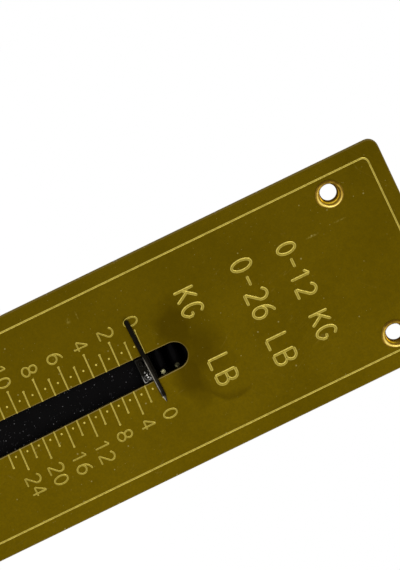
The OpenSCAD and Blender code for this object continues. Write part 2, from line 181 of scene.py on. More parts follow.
def lamp(name, place, width, watts):
    """Square soft lamp at a place, turned to face the middle of the view."""
    data = bpy.data.lights.new(name, "AREA")
    data.size = width
    data.energy = watts
    made = bpy.data.objects.new(name, data)
    facing = (view_centre - Vector(place)).to_track_quat("-Z", "Y")
    made.matrix_world = Matrix.Translation(place) @ facing.to_matrix().to_4x4()
    objects.link(made)


room = bpy.data.worlds.new("white_room")
room.use_nodes = True
room_tree = room.node_tree
room_tree.nodes.clear()
soft, full = (reading(room_tree, "Background", {"Color": (1, 1, 1, 1), "Strength": strength})
              for strength in (0.72, 1.0))
white = reading(room_tree, "MixShader", {0: seen_straight(room_tree), 1: soft, 2: full})
shader(room_tree, "OutputWorld", {"Surface": white})
bpy.context.scene.world = room

lamp("key", (-0.42, -0.75, 0.38), 0.45, 2.6)
lamp("fill", (0.6, -0.5, -0.02), 0.5, 1.2)
lamp("rim", (0.25, 0.7, 0.3), 0.5, 1.6)

floor_gap = 3 * mm
floor_z = hook_low.z - travel - floor_gap
reach = 6.0
floor_mesh = bpy.data.meshes.new("floor")
floor_corners = [(-reach, -reach, floor_z), (reach, -reach, floor_z), (reach, reach, floor_z),
                 (-reach, reach, floor_z)]
floor_mesh.from_pydata(floor_corners, [], [(0, 1, 2, 3)])
floor = bpy.data.objects.new("floor", floor_mesh)
objects.link(floor)


def pale_floor(tree):
    """Matt white paint, with a little light of its own where the camera sees it."""
    return {"Base Color": (0.93, 0.93, 0.93, 1), "Roughness": 0.9, "Specular IOR Level": 0.0,
            "Emission Color": (1, 1, 1, 1), "Emission Strength": seen_straight(tree) * 0.33}


floor_mesh.materials.append(coated(pale_floor))

# Back shell
# A channel pressed from one piece of 0.9 mm sheet steel: the blank is punched with its four eyelet holes,
# then bent four times, and baked in black enamel.


def finished(name, mesh, sharp):
    """Object of a mesh whose doubles are merged and whose faces are turned outwards. Edges that bend by more
    than the sharp angle, in degrees, stay crisp."""
    cleaned = bmesh.new()
    cleaned.from_mesh(mesh)
    bmesh.ops.remove_doubles(cleaned, verts=cleaned.verts, dist=2e-7)
    bmesh.ops.dissolve_degenerate(cleaned, dist=1e-8, edges=cleaned.edges)
    bmesh.ops.recalc_face_normals(cleaned, faces=cleaned.faces)
    cleaned.to_mesh(mesh)
    cleaned.free()
    mesh.polygons.foreach_set("use_smooth", np.ones(len(mesh.polygons), bool))
    mesh.set_sharp_from_angle(angle=np.radians(sharp))
    piece = bpy.data.objects.new(name, mesh)
    objects.link(piece)
    return piece


def joined(name, sheets):
    """Mesh of (points, faces, rim) sheets. Rim runs from 0 to 1 and carries edge wear, and on some pieces
    painted light; the finishes read it.
    """
    starts = np.cumsum([0] + [len(points) for points, _, _ in sheets])
    points = np.concatenate([points for points, _, _ in sheets])
    faces = np.concatenate([faces + start for (_, faces, _), start in zip(sheets, starts)])
    rim = np.concatenate([rim for _, _, rim in sheets]).astype(np.float32)
    mesh = bpy.data.meshes.new(name)
    mesh.from_pydata(points.tolist(), [], faces.tolist())
    mesh.attributes.new("rim", "FLOAT", "POINT").data.foreach_set("value", rim)
    return mesh


def lattice(rows, columns, round_rows=False, round_columns=False):
    """Four-cornered faces of a grid of rows by columns, closed on itself where a direction is round."""
    i = np.arange(rows if round_rows else rows - 1)[:, None]
    j = np.arange(columns if round_columns else columns - 1)[None, :]
    i1 = (i + 1) % rows
    j1 = (j + 1) % columns
    corners = [i * columns + j, i * columns + j1, i1 * columns + j1, i1 * columns + j]
    return np.stack([np.broadcast_to(c, (i.shape[0], j.shape[1])) for c in corners], -1).reshape(-1, 4)


def arc(centre_a, centre_b, radius, start, end, count):
    """Points on a circle: the centre plus the radius times cosine and sine of evenly spaced angles."""
    angle = np.radians(np.linspace(start, end, count))
    return np.stack([centre_a + radius * np.cos(angle), centre_b + radius * np.sin(angle)], 1)


def hole(a, b, radius, count=40):
    """Round hole in a punched sheet, clockwise."""
    return arc(a, b, radius, 360, 360 / count, count)


def round_box(low_a, low_b, high_a, high_b, radius, count=8):
    """Outline of a rectangle with round corners, counterclockwise."""
    return np.concatenate([
        arc(high_a - radius, low_b + radius, radius, -90, 0, count),
        arc(high_a - radius, high_b - radius, radius, 0, 90, count),
        arc(low_a + radius, high_b - radius, radius, 90, 180, count),
        arc(low_a + radius, low_b + radius, radius, 180, 270, count)])


def punched(outlines, low, high, edge, steps=3):
    """Sheet punched to its outlines, the outer one counterclockwise and the holes clockwise, from level low
    to high. Each outline is carried round a profile whose two edges are quarter circles: inward by edge times
    (1 - cosine), towards the face by edge times (1 - sine). The faces are filled between the outlines."""
    quarter = np.radians(np.linspace(90, 0, steps + 1))
    inset = edge * (1 - np.cos(quarter))
    depth = edge * (1 - np.sin(quarter))
    flat = [edge * 1.35]
    inset = np.concatenate([flat, inset, inset[::-1], flat])
    height = np.concatenate([[low], low + depth, high - depth[::-1], [high]])
    wear_and_painted_light = np.concatenate([[0], np.ones(2 * steps + 2), [0]])
    sheets = []
    for outline in outlines:
        ahead = np.roll(outline, -1, 0) - outline
        ahead /= np.linalg.norm(ahead, axis=1, keepdims=True)
        inward = np.stack([-ahead[:, 1], ahead[:, 0]], 1)
        inward = inward + np.roll(inward, 1, 0)
        inward /= np.sum(inward * inward, axis=1, keepdims=True) / 2
        ring = outline[None] + inset[:, None, None] * inward[None]
        tall = np.broadcast_to(height[:, None, None], (len(height), len(outline), 1))
        sheets.append((np.concatenate([ring, tall], 2).reshape(-1, 3),
                       lattice(len(height), len(outline), round_columns=True), np.repeat(wear_and_painted_light, len(outline))))
    walls = joined("walls", sheets)
    blank = bmesh.new()
    blank.from_mesh(walls)
    bpy.data.meshes.remove(walls)
    middle = (low + high) / 2
    open_edges = [e for e in blank.edges if e.is_boundary]
    for side in (-1, 1):
        loops = [e for e in open_edges if (e.verts[0].co.z - middle) * side > 0]
        bmesh.ops.triangle_fill(blank, use_beauty=True, use_dissolve=False, edges=loops)
    return blank


def as_drawn(points):
    """Leaves a blank's two directions and its level as x, y and z."""
    return points


def placed(name, blank, place=as_drawn):
    """Object of a punched sheet whose points the function place moves from (a, b, level) to (x, y, z)."""
    mesh = bpy.data.meshes.new(name)
    blank.to_mesh(mesh)
    blank.free()
    points = np.empty(len(mesh.vertices) * 3)
    mesh.vertices.foreach_get("co", points)
    mesh.vertices.foreach_set("co", place(points.reshape(-1, 3)).reshape(-1))
    return finished(name, mesh, 35)


def along(runs, start, heading, distance):
    """Place and heading, in a plane, at each distance along a line of runs (length, turn in radians): a
    straight run goes on ahead, a turning one follows a circle whose radius is its length over its turn."""
    place = np.array(start, float)
    points = np.zeros((len(distance), 2))
    headings = np.zeros(len(distance))
    gone = 0.0
    for number, (length, bend) in enumerate(runs):
        here = (distance >= gone) | (number == 0)
        limit = np.inf if number == len(runs) - 1 else length
        run = np.append(np.minimum(distance - gone, limit), length)
        turned_to = heading + bend * run / length
        if bend:
            moved = length / bend * np.stack([np.sin(turned_to) - np.sin(heading),
                                              np.cos(heading) - np.cos(turned_to)], 1)
        else:
            moved = run[:, None] * np.array([np.cos(heading), np.sin(heading)])
        points[here] = (place + moved[:-1])[here]
        headings[here] = turned_to[:-1][here]
        place = place + moved[-1]
        heading = heading + bend
        gone += length
    return points, headings


def bend_cuts(blank, runs, normal, start, pieces=7):
    """Cuts the blank square to its length at even steps through every turning run, so that it can bend."""
    gone = start
    for length, bend in runs:
        for step in np.linspace(0, length, pieces + 1) if bend else ():
            everything = list(blank.verts) + list(blank.edges) + list(blank.faces)
            bmesh.ops.bisect_plane(blank, geom=everything, dist=1e-8, plane_co=normal * (gone + step),
                                   plane_no=normal)
        gone += length


def bent(runs, start, heading, distance, thickness):
    """Points of a bent sheet in a plane: along its runs, then square to them by a share of its thickness."""
    place, headings = along(runs, start, heading, distance)
    return place + np.stack([-np.sin(headings), np.cos(headings)], 1) * thickness[:, None]


shell_low, shell_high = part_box("back_shell")
sheet_t = 0.9 * mm
channel_half = 7.2 * mm
back_corner = 2.0 * mm
back_bend = back_corner - sheet_t / 2
flange_bend = 0.75 * mm
flange_corner = 1.2 * mm
shell_edge = 0.1 * mm
wall_x = channel_half - sheet_t / 2
back_y = shell_high.y - sheet_t / 2
front_y = shell_low.y + sheet_t / 2
quarter_turn = np.pi / 2
flange_run = shell_high.x - wall_x - flange_bend
wall_run = back_y - front_y - back_bend - flange_bend
half_runs = [(flange_run, 0), (flange_bend * quarter_turn, quarter_turn), (wall_run, 0),
             (back_bend * quarter_turn, -quarter_turn)]
shell_runs = half_runs + [(2 * (wall_x - back_bend), 0)] + half_runs[::-1]
half_girth = sum(length for length, _ in shell_runs) / 2

eyelet_low, eyelet_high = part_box("corner_eyelets")
eyelet_lip = 2.05 * mm
eyelet_x = eyelet_high.x - eyelet_lip
eyelet_zs = (eyelet_low.z + eyelet_lip, eyelet_high.z - eyelet_lip)
eyelet_hole = 1.6 * mm
hole_a = half_girth - (shell_high.x - eyelet_x)
shell_outlines = [round_box(-half_girth, shell_low.z, half_girth, shell_high.z, flange_corner)]
shell_outlines += [hole(a, z, eyelet_hole) for a in (-hole_a, hole_a) for z in eyelet_zs]
shell_blank = punched(shell_outlines, -sheet_t / 2, sheet_t / 2, shell_edge)
bend_cuts(shell_blank, shell_runs, Vector((1, 0, 0)), -half_girth)


def press_shell(points):
    """Bends the blank: its width follows the section, its thickness stands square to it, its length is up."""
    plan = bent(shell_runs, (shell_low.x, front_y), 0.0, points[:, 0] + half_girth, points[:, 2])
    return np.stack([plan[:, 0], plan[:, 1], points[:, 1]], 1)


shell = placed("shell_pressing", shell_blank, press_shell)


def on_piece(tree):
    """Readings of x, y and z on the piece, in metres."""
    place = reading(tree, "TexCoord", {}, "Object")
    return [Reading(socket) for socket in shader(tree, "SeparateXYZ", {0: place}).outputs]


def noise(tree, grain, detail=2.0, stretch=(1, 1, 1), tilt=0.0, distortion=0.0):
    """Noise of a grain size in metres on the piece, turned by tilt about Y and drawn out by stretch."""
    place = reading(tree, "TexCoord", {}, "Object")
    if tilt or stretch != (1, 1, 1):
        squeeze = [1 / pull for pull in stretch]
        place = reading(tree, "Mapping", {"Vector": place, "Rotation": (0, tilt, 0)})
        place = reading(tree, "Mapping", {"Vector": place, "Scale": squeeze})
    return reading(tree, "TexNoise", {
        "Vector": place, "Scale": 1 / grain, "Detail": detail, "Distortion": distortion}, "Fac")


def level(value, low, high, to_low=0.0, to_high=1.0):
    """Value read between low and high as a number between to_low and to_high."""
    return reading(value.socket.id_data, "MapRange", {
        "Value": value, "From Min": low, "From Max": high, "To Min": to_low, "To Max": to_high})


def mixed(amount, a, b):
    """Colour between a and b by an amount from 0 to 1."""
    a, b = (colour if isinstance(colour, Reading) else (*colour, 1) for colour in (a, b))
    return reading(amount.socket.id_data, "Mix", {0: amount, 6: a, 7: b}, 2, data_type="RGBA")


def specks(tree, spacing, size, share):
    """Mask of round specks seen from the front: one in each cell of a spacing, shown in a share of the cells,
    of random sizes."""
    x, _, z = on_piece(tree)
    flat = reading(tree, "CombineXYZ", {0: x, 1: z})
    cells = shader(tree, "TexVoronoi", {"Vector": flat, "Scale": 1 / spacing}, voronoi_dimensions="2D")
    chance = reading(tree, "SeparateColor", {0: Reading(cells.outputs["Color"])})
    size_here = larger(level(chance, 1 - share, 1, 0, size / spacing), 1e-4)
    return level(Reading(cells.outputs["Distance"]) / size_here, 1.0, 0.55)


def hairlines(tree, grain, width, tilt, share):
    """Mask of fine scratches: the level line of a drawn-out noise, kept where a broad noise is high."""
    drawn = noise(tree, grain, 1.0, (1, 1, 14), tilt)
    patch = level(noise(tree, grain * 5, 1.0), 1 - share, 1.05 - share)
    return level(abs(drawn - 0.5), width, 0.0) * patch


def worn_rim(tree):
    """The piece's rim attribute: 1 on its worn edges, and on some pieces the share of painted light."""
    return reading(tree, "Attribute", {}, "Fac", attribute_name="rim")


def relief(height, distance):
    """Surface relief from a height, as deep as a distance in metres."""
    return reading(height.socket.id_data, "Bump", {
        "Height": height, "Distance": distance, "Strength": 1.0})


def black_enamel(tree):
    """Baked black enamel: a faint orange peel, dull patches from handling, and thin spots along the edges."""
    handled = noise(tree, 7 * mm, 4.0)
    thin = worn_rim(tree) * level(noise(tree, 0.8 * mm, 3.0), 0.5, 0.66)
    dust = larger(specks(tree, 1.6 * mm, 0.07 * mm, 0.3), hairlines(tree, 1.3 * mm, 0.006, 0.7, 0.45))
    tone = mixed(handled, (0.011, 0.0105, 0.012), (0.021, 0.019, 0.019))
    tone = mixed(dust * 0.2, tone, (0.2, 0.19, 0.18))
    tone = mixed(thin, tone, (0.16, 0.13, 0.105))
    return {"Base Color": tone, "Roughness": level(handled, 0.3, 0.7, 0.24, 0.42), "Metallic": thin * 0.8,
            "Normal": relief(noise(tree, 0.6 * mm, 2.0), 0.012 * mm), "Specular IOR Level": 0.34}


def fitted(piece, finish, body, node):
    """Gives a piece its finish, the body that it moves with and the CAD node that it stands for."""
    piece.data.materials.append(finish)
    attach(piece, body)
    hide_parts(node)


enamel = coated(black_enamel)
fitted(shell, enamel, "case", "back_shell")

# End blocks
# Two steel blocks close the channel. The upper one is bored for the eye bolt, the lower one has a window
# at the front for the draw bar to slide in. Both are enamelled with the shell.

cap_low, cap_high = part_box("top_cap")
guide_low, guide_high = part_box("bottom_guide")
bar_low, bar_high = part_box("draw_bar")
bar_t = 1.1 * mm
run_gap = 0.2 * mm
block_edge = 0.18 * mm
shank_r = 1.5 * mm
bore_r = shank_r + 0.05 * mm


def block_outline(low, high, corner=1.1 * mm, front=()):
    """Outline of a block seen from above: its front, with any window in it, and two round rear corners."""
    return np.concatenate([
        np.array([(low.x, low.y), *front, (high.x, low.y)]),
        arc(high.x - corner, high.y - corner, corner, 0, 90, 7),
        arc(low.x + corner, high.y - corner, corner, 90, 180, 7)])


window_x = bar_high.x + run_gap
window_y = bar_low.y + bar_t + run_gap
window = [(-window_x, guide_low.y), (-window_x, window_y), (window_x, window_y), (window_x, guide_low.y)]
cap = punched([block_outline(cap_low, cap_high), hole(0, 0, bore_r)], cap_low.z, cap_high.z, block_edge)
guide = punched([block_outline(guide_low, guide_high, front=window)], guide_low.z, guide_high.z, block_edge)
fitted(placed("top_block", cap), enamel, "case", "top_cap")
fitted(placed("bottom_block", guide), enamel, "case", "bottom_guide")

# Side rivets
# Four mild steel rivets through the channel's walls hold the end blocks. Their heads were set with a
# hammer, so each dome has a small flat, and the black has gone brown around them.


def turned(profile, place, axis, count=36, wear_and_painted_light=None):
    """Profile of (radius, height) points turned round an axis through a place: each point goes round a circle
    of its radius, at its height along the axis. A radius of 0 is a pole."""
    axis = np.array(axis, float)
    first = np.roll(axis, 1)
    second = np.cross(axis, first)
    angle = np.linspace(0, 2 * np.pi, count, endpoint=False)
    spoke = np.cos(angle)[:, None] * first + np.sin(angle)[:, None] * second
    profile = np.array(profile, float)
    points = np.array(place) + profile[:, 1][:, None, None] * axis + profile[:, 0][:, None, None] * spoke
    rim = np.zeros(len(profile)) if wear_and_painted_light is None else np.array(wear_and_painted_light, float)
    return points.reshape(-1, 3), lattice(len(profile), count, round_columns=True), np.repeat(rim, count)


def solid(name, sheets, sharp=35):
    """One object of closed (points, faces, rim) sheets."""
    return finished(name, joined(name, sheets), sharp)


def dome(radius, height, steps=7, flat=0.25):
    """Profile of a rivet's head from its top outwards: a slice of a ball, flat over a share of its radius,
    with a low upright edge."""
    ball = (radius ** 2 + height ** 2) / (2 * height)
    out = np.linspace(flat * radius, radius, steps)
    rise = np.sqrt(ball ** 2 - out ** 2) - (ball - height)
    rise[-1] = 0.12 * height
    return [(0.0, rise[0])] + list(zip(out, rise)) + [(radius, 0.0)]


def hammered_steel(tree):
    """Dark rivet steel: hammered dents, brown in the hollows and rubbed bright on the high spots."""
    dents = noise(tree, 0.55 * mm, 3.0)
    brown = level(noise(tree, 0.9 * mm, 4.0), 0.52, 0.7)
    tone = mixed(level(dents, 0.42, 0.62), (0.028, 0.026, 0.026), (0.1, 0.095, 0.09))
    tone = mixed(brown * 0.7, tone, (0.075, 0.04, 0.022))
    return {"Base Color": tone, "Roughness": level(dents, 0.3, 0.7, 0.5, 0.3),
            "Normal": relief(dents, 0.03 * mm), "Metallic": 1.0}


rivet_metal = coated(hammered_steel)
side_head_r = 1.3 * mm
side_head_h = 0.7 * mm
side_shank_r = 0.7 * mm
side_shank = 3.4 * mm
side_rivet = dome(side_head_r, side_head_h) + [(side_shank_r, 0), (side_shank_r, -side_shank),
                                               (0, -side_shank)]
for name, node, low, high in (("top_side_rivets", "top_cap_rivets", cap_low, cap_high),
                              ("bottom_side_rivets", "bottom_guide_rivets", guide_low, guide_high)):
    height = (low.z + high.z) / 2
    pair = [turned(side_rivet, (side * channel_half, 0, height), (side, 0, 0)) for side in (-1, 1)]
    fitted(solid(name, pair), rivet_metal, "case", node)

# Eye bolt, washer and lock nut
# The load hangs on a nickel-plated eye bolt. Its eye and collar are one forging, the shank below is
# threaded, passes washer and block, and is locked by a nut; turning it sets the zero.

eye_low, eye_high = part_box("eye_bolt")
washer_low, washer_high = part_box("cap_washer")
nut_low, nut_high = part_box("lock_nut")
eye_wire_r = 1.1 * mm
eye_bend_r = 3.1 * mm
collar_r = 3.2 * mm
collar_t = 1.2 * mm
thread_pitch = 0.5 * mm
thread_depth = 0.28 * mm


def bent_wire(path, radius, side, closed=False, count=18, bevel=0.18):
    """Round wire along a path: each point carries a circle square to the path, whose first spoke is the side
    vector made square to it. An open wire is cut off flat, with a bevel of a share of its radius."""
    path = np.array(path, float)
    radius = np.broadcast_to(radius, len(path)).astype(float)
    side = np.broadcast_to(side, path.shape)
    if closed:
        ahead = np.roll(path, -1, 0) - np.roll(path, 1, 0)
    else:
        ahead = np.gradient(path, axis=0)
        rows = np.concatenate([[0, 0], np.arange(len(path)), [-1, -1]])
        path, radius, side, ahead = path[rows], radius[rows], side[rows], ahead[rows]
    ahead = ahead / np.linalg.norm(ahead, axis=1, keepdims=True)
    if not closed:
        cut = bevel * radius[[0, -1]]
        path[2] += ahead[2] * cut[0]
        path[-3] -= ahead[-3] * cut[1]
        radius[[1, -2]] -= cut
        radius[[0, -1]] = 0
    side = side - np.sum(side * ahead, 1, keepdims=True) * ahead
    side /= np.linalg.norm(side, axis=1, keepdims=True)
    angle = np.linspace(0, 2 * np.pi, count, endpoint=False)[None, :, None]
    spoke = side[:, None] * np.cos(angle) + np.cross(ahead, side)[:, None] * np.sin(angle)
    points = path[:, None] + radius[:, None, None] * spoke
    faces = lattice(len(path), count, round_rows=closed, round_columns=True)
    return points.reshape(-1, 3), faces, np.zeros(len(path) * count)


def fore_and_aft(flat):
    """Flat (y, z) points stood up in the middle plane of the scale."""
    return np.stack([0 * flat[:, 0], flat[:, 0], flat[:, 1]], 1)


def threaded(core, depth, pitch, low, high, count=40, per_turn=8):
    """Threaded rod from low up to high: its radius is the core plus depth times a triangle wave of height
    over pitch less angle over a full turn, run out at both ends."""
    rows = int((high - low) / pitch * per_turn)
    height = np.linspace(low, high, rows)[:, None]
    angle = np.linspace(0, 2 * np.pi, count, endpoint=False)[None, :]
    wave = np.abs(((height / pitch - angle / (2 * np.pi)) % 1) * 2 - 1)
    run_out = np.clip(np.minimum(height - low, high - height) / pitch, 0, 1)
    radius = core + depth * wave * run_out
    points = np.stack([radius * np.cos(angle), radius * np.sin(angle), height + 0 * angle], 2)
    ends = np.zeros((1, count, 3))
    points = np.concatenate([ends + (0, 0, low), points, ends + (0, 0, high)])
    return points.reshape(-1, 3), lattice(rows + 2, count, round_columns=True), np.zeros((rows + 2) * count)


def bored_disc(inner, outer, low, high, edge):
    """Profile of a ring with bevelled outer edges, from its bore at the low end round to the bore again."""
    return [(inner, low), (outer - edge, low), (outer, low + edge), (outer, high - edge),
            (outer - edge, high), (inner, high), (inner, low)]


def nickel_plate(tree):
    """Dull nickel plate, worn thin: soft clouds, fine hairlines from handling and grey pits."""
    cloud = noise(tree, 3.5 * mm, 4.0)
    pits = level(noise(tree, 0.35 * mm, 4.0), 0.66, 0.74)
    lines = larger(hairlines(tree, 0.7 * mm, 0.012, 0.35, 0.6), hairlines(tree, 0.9 * mm, 0.01, -1.0, 0.5))
    tone = mixed(level(cloud, 0.35, 0.68), (0.36, 0.34, 0.305), (0.2, 0.185, 0.165))
    tone = mixed(lines * 0.5, tone, (0.55, 0.53, 0.49))
    tone = mixed(pits * 0.75, tone, (0.06, 0.05, 0.042))
    return {"Base Color": tone, "Roughness": level(cloud, 0.3, 0.7, 0.2, 0.38),
            "Normal": relief(noise(tree, 0.9 * mm, 3.0) - pits * 0.5, 0.01 * mm), "Metallic": 1.0}


nickel = coated(nickel_plate)
eye_z = eye_high.z - eye_bend_r - eye_wire_r
eye_ring = bent_wire(fore_and_aft(arc(0, eye_z, eye_bend_r, 0, 355, 72)), eye_wire_r, (1, 0, 0), closed=True)
collar_low = washer_high.z
collar_top = collar_low + collar_t
neck = [(0, collar_low), (collar_r - 0.25 * mm, collar_low), (collar_r, collar_low + 0.2 * mm),
        (collar_r, collar_top - 0.3 * mm), (collar_r - 0.35 * mm, collar_top), (2.1 * mm, collar_top),
        (1.6 * mm, collar_top + 0.18 * mm), (1.3 * mm, collar_top + 0.55 * mm), (0, collar_top + 0.75 * mm)]
foot = (0, 0, 0)
up_axis = (0, 0, 1)
shank = threaded(shank_r - thread_depth, thread_depth, thread_pitch, eye_low.z, collar_low + 0.3 * mm)
eye_bolt = solid("threaded_eye", [eye_ring, turned(neck, foot, up_axis, 44), shank])

washer_edge = 0.08 * mm
washer_profile = bored_disc(bore_r, washer_high.x, washer_low.z, washer_high.z, washer_edge)
washer = solid("collar_washer", [turned(washer_profile, foot, up_axis, 44)])

nut_half = 2.75 * mm
nut_chamfer = 0.3 * mm
nut_turn = np.linspace(0, 2 * np.pi, 72, endpoint=False)
to_flat = (nut_turn + np.pi / 6) % (np.pi / 3) - np.pi / 6
hexagon = nut_half / np.cos(to_flat)
nut_bore = np.full_like(hexagon, bore_r)
nut_end = np.minimum(hexagon, nut_half - 0.05 * mm)
nut_rows = [(nut_low.z, nut_bore), (nut_low.z, nut_end), (nut_low.z + nut_chamfer, hexagon),
            (nut_high.z - nut_chamfer, hexagon), (nut_high.z, nut_end), (nut_high.z, nut_bore),
            (nut_low.z, nut_bore)]
nut_points = np.concatenate([np.stack([out * np.cos(nut_turn), out * np.sin(nut_turn), 0 * out + z], 1)
                             for z, out in nut_rows])
nut_faces = lattice(len(nut_rows), len(nut_turn), round_columns=True)
nut = solid("zero_lock_nut", [(nut_points, nut_faces, np.zeros(len(nut_points)))], 20)
for piece, node in ((eye_bolt, "eye_bolt"), (washer, "cap_washer"), (nut, "lock_nut")):
    fitted(piece, nickel, "case", node)

# Spring and its top plug
# An extension spring, closely coiled from tempered wire, hangs from a turned plug on the eye bolt's thread
# and carries the slide block. It is nearly black, with painted highlights on its front where it passes the
# slot's edge.

plug_low, plug_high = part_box("spring_top_plug")
spring_low, spring_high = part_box("main_spring")
spring_wire = 1.5 * mm
spring_r = spring_high.x - spring_wire / 2
end_bend = 1.2 * mm
end_length = 1.5 * mm
curls = 14
coil_low = spring_low.z + end_length + end_bend
coil_high = spring_high.z - end_length - end_bend


def oiled_steel(tree):
    """Turned steel with a film of oil: fine rings from the lathe and darker runs."""
    rings = noise(tree, 0.25 * mm, 2.0, (30, 30, 1))
    film = noise(tree, 3 * mm, 3.0)
    tone = mixed(level(film, 0.35, 0.65), (0.085, 0.08, 0.074), (0.04, 0.036, 0.032))
    tone = mixed(level(rings, 0.35, 0.7, 0, 0.5), tone, (0.16, 0.152, 0.145))
    return {"Base Color": tone, "Roughness": level(film, 0.3, 0.7, 0.3, 0.45),
            "Normal": relief(rings, 0.01 * mm), "Metallic": 1.0}


def tempered_wire(tree):
    """Nearly black tempered wire, with painted highlights on its front where it passes the slot's right edge.
    """
    x, y, z = on_piece(tree)
    flat = reading(tree, "CombineXYZ", {0: x, 1: y})
    from_axis = reading(tree, "VectorMath", {0: flat}, "Value", operation="LENGTH")
    crest = ((from_axis - spring_r) / (spring_wire / 2)) ** 2
    beside = (x - 1.83 * mm) / (0.47 * mm)
    from_spot = beside * beside + (1.0 - crest) * 3.9
    # Painted highlight: a pale spot on the coils' front near the slot's right edge, dimmer on the coils
    # above.
    pale_share_and_painted_light = level(from_spot, 1.2, 0.6) * level(y, 0, -1 * mm)
    pale_share_and_painted_light *= level(noise(tree, 0.3 * mm, 3.0), 0.42, 0.62, 0.25, 1.0)
    pale_share_and_painted_light *= level(z, zero_z + 2.0 * mm, zero_z + 3.4 * mm, 1, 0.13)
    film = noise(tree, 1.2 * mm, 3.0)
    tone = mixed(film, (0.0009, 0.0008, 0.0012), (0.0022, 0.0018, 0.0016))
    tone = mixed(pale_share_and_painted_light, tone, (1.0, 0.94, 0.48))
    return {"Base Color": tone, "Roughness": level(film, 0.3, 0.7, 0.22, 0.4),
            "Normal": relief(noise(tree, 0.12 * mm, 2.0), 0.004 * mm), "Specular IOR Level": 0.02}


oiled = coated(oiled_steel)
plug_profile = bored_disc(bore_r, plug_high.x, plug_low.z, plug_high.z, 0.3 * mm)
plug = solid("spring_plug", [turned(plug_profile, foot, up_axis, 48)])
fitted(plug, oiled, "case", "spring_top_plug")

turns = np.linspace(0, curls, curls * 32 + 1)
coil = np.stack([spring_r * np.cos(2 * np.pi * turns), -spring_r * np.sin(2 * np.pi * turns),
                 coil_low + (coil_high - coil_low) * turns / curls], 1)
swing = np.radians(np.linspace(90, 12, 7))
lead = np.stack([0 * swing, end_bend * np.sin(swing), -end_bend * (1 - np.cos(swing))], 1)
lead = np.concatenate([[(0, end_bend, -end_bend - end_length)], lead])
spring_path = np.concatenate([coil[0] + lead, coil, (coil[-1] - lead)[::-1]])
spring = solid("draw_spring", [bent_wire(spring_path, spring_wire / 2, spring_path * (1, 1, 0), count=14)])
spring.data.materials.append(coated(tempered_wire))
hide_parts("main_spring")
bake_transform(spring)

# Slide block
# A steel block that runs in the channel. The spring's lower end holds it by its top, and its tongue is
# riveted behind the draw bar.

slide_low, slide_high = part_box("slide_block")
seat_z = spring_low.z
slide_corner = 1.0 * mm
slide_edge = 0.2 * mm
tongue_t = 1.6 * mm
tongue_root = 0.5 * mm
tongue_edge = 0.12 * mm
tongue_rear = slide_low.y + tongue_t
slide = punched([block_outline(slide_low, slide_high, slide_corner)], slide_low.z, seat_z, slide_edge)
tongue_outline = round_box(-bar_high.x, slide_low.y, bar_high.x, tongue_rear, slide_edge, 4)
tongue = punched([tongue_outline], seat_z - tongue_root, slide_high.z, tongue_edge)
tongue_mesh = bpy.data.meshes.new("tongue")
tongue.to_mesh(tongue_mesh)
tongue.free()
slide.from_mesh(tongue_mesh)
bpy.data.meshes.remove(tongue_mesh)
fitted(placed("slide_carrier", slide), oiled, "draw", "slide_block")

# Draw bar
# One flat blackened steel bar: its upper end lies behind the slot and carries the pointer, its lower end is
# joggled back to the spring's axis and drilled for the hook.

bar_mid = bar_low.y + bar_t / 2
bar_end_r = bar_high.x
bar_corner = 0.5 * mm
bar_edge = 0.14 * mm
joggle_drop = 0.8 * mm
joggle_top = face_low.z - joggle_drop
joggle_bend = 1.5 * mm
eighth_turn = np.pi / 4
bend_reach = joggle_bend * np.tan(eighth_turn / 2)
joggle_run = -bar_mid * np.sqrt(2) - 2 * bend_reach
bar_top_run = bar_high.z - joggle_top - bend_reach
bar_low_run = joggle_top + bar_mid - bend_reach - bar_low.z
bar_runs = [(bar_top_run, 0), (joggle_bend * eighth_turn, eighth_turn), (joggle_run, 0),
            (joggle_bend * eighth_turn, -eighth_turn), (bar_low_run, 0)]
bar_length = sum(length for length, _ in bar_runs)
hook_hole_rise = 3.75 * mm
hook_hole_r = 1.75 * mm
pin_drop = 1.25 * mm
pin_z = zero_z - pin_drop
pin_x = 1.05 * mm
pin_hole_r = 0.35 * mm
bar_outline = np.concatenate([
    arc(0, bar_end_r - bar_length, bar_end_r, 180, 360, 33),
    arc(bar_high.x - bar_corner, -bar_corner, bar_corner, 0, 90, 5),
    arc(-bar_high.x + bar_corner, -bar_corner, bar_corner, 90, 180, 5)])
bar_holes = [hole(x, pin_z - bar_high.z, pin_hole_r, 16) for x in (-pin_x, pin_x)]
bar_holes.append(hole(0, hook_hole_rise - bar_length, hook_hole_r))
bar_blank = punched([bar_outline] + bar_holes, -bar_t / 2, bar_t / 2, bar_edge)
bend_cuts(bar_blank, bar_runs[::-1], Vector((0, 1, 0)), -bar_length)


def joggle_bar(points):
    """Bends the blank: its length follows the bar down, its thickness stands square to it."""
    plan = bent(bar_runs, (bar_mid, bar_high.z), -quarter_turn, -points[:, 1], points[:, 2])
    return np.stack([points[:, 0], plan[:, 0], plan[:, 1]], 1)


def blackened_steel(tree):
    """Oil-blackened steel: almost no shine, grey dust specks, fine scratches and edges worn to the metal."""
    cloud = noise(tree, 2.5 * mm, 3.0)
    dust = larger(specks(tree, 0.85 * mm, 0.1 * mm, 0.45), specks(tree, 0.33 * mm, 0.045 * mm, 0.15))
    scratch = hairlines(tree, 0.32 * mm, 0.012, 0.9, 0.34)
    wear_and_painted_light = worn_rim(tree) * level(noise(tree, 0.5 * mm, 3.0), 0.5, 0.7, 0, 0.5)
    tone = mixed(cloud, (0.0013, 0.0012, 0.0013), (0.0032, 0.0029, 0.0029))
    tone = mixed(larger(dust * 0.36, scratch * 0.16), tone, (0.3, 0.29, 0.3))
    tone = mixed(wear_and_painted_light, tone, (0.09, 0.085, 0.08))
    return {"Base Color": tone, "Roughness": level(cloud, 0.3, 0.7, 0.45, 0.6), "Metallic": wear_and_painted_light,
            "Normal": relief(noise(tree, 0.2 * mm, 3.0), 0.006 * mm), "Specular IOR Level": 0.02}


bar = placed("pull_bar", bar_blank, joggle_bar)
fitted(bar, coated(blackened_steel), "draw", "draw_bar")
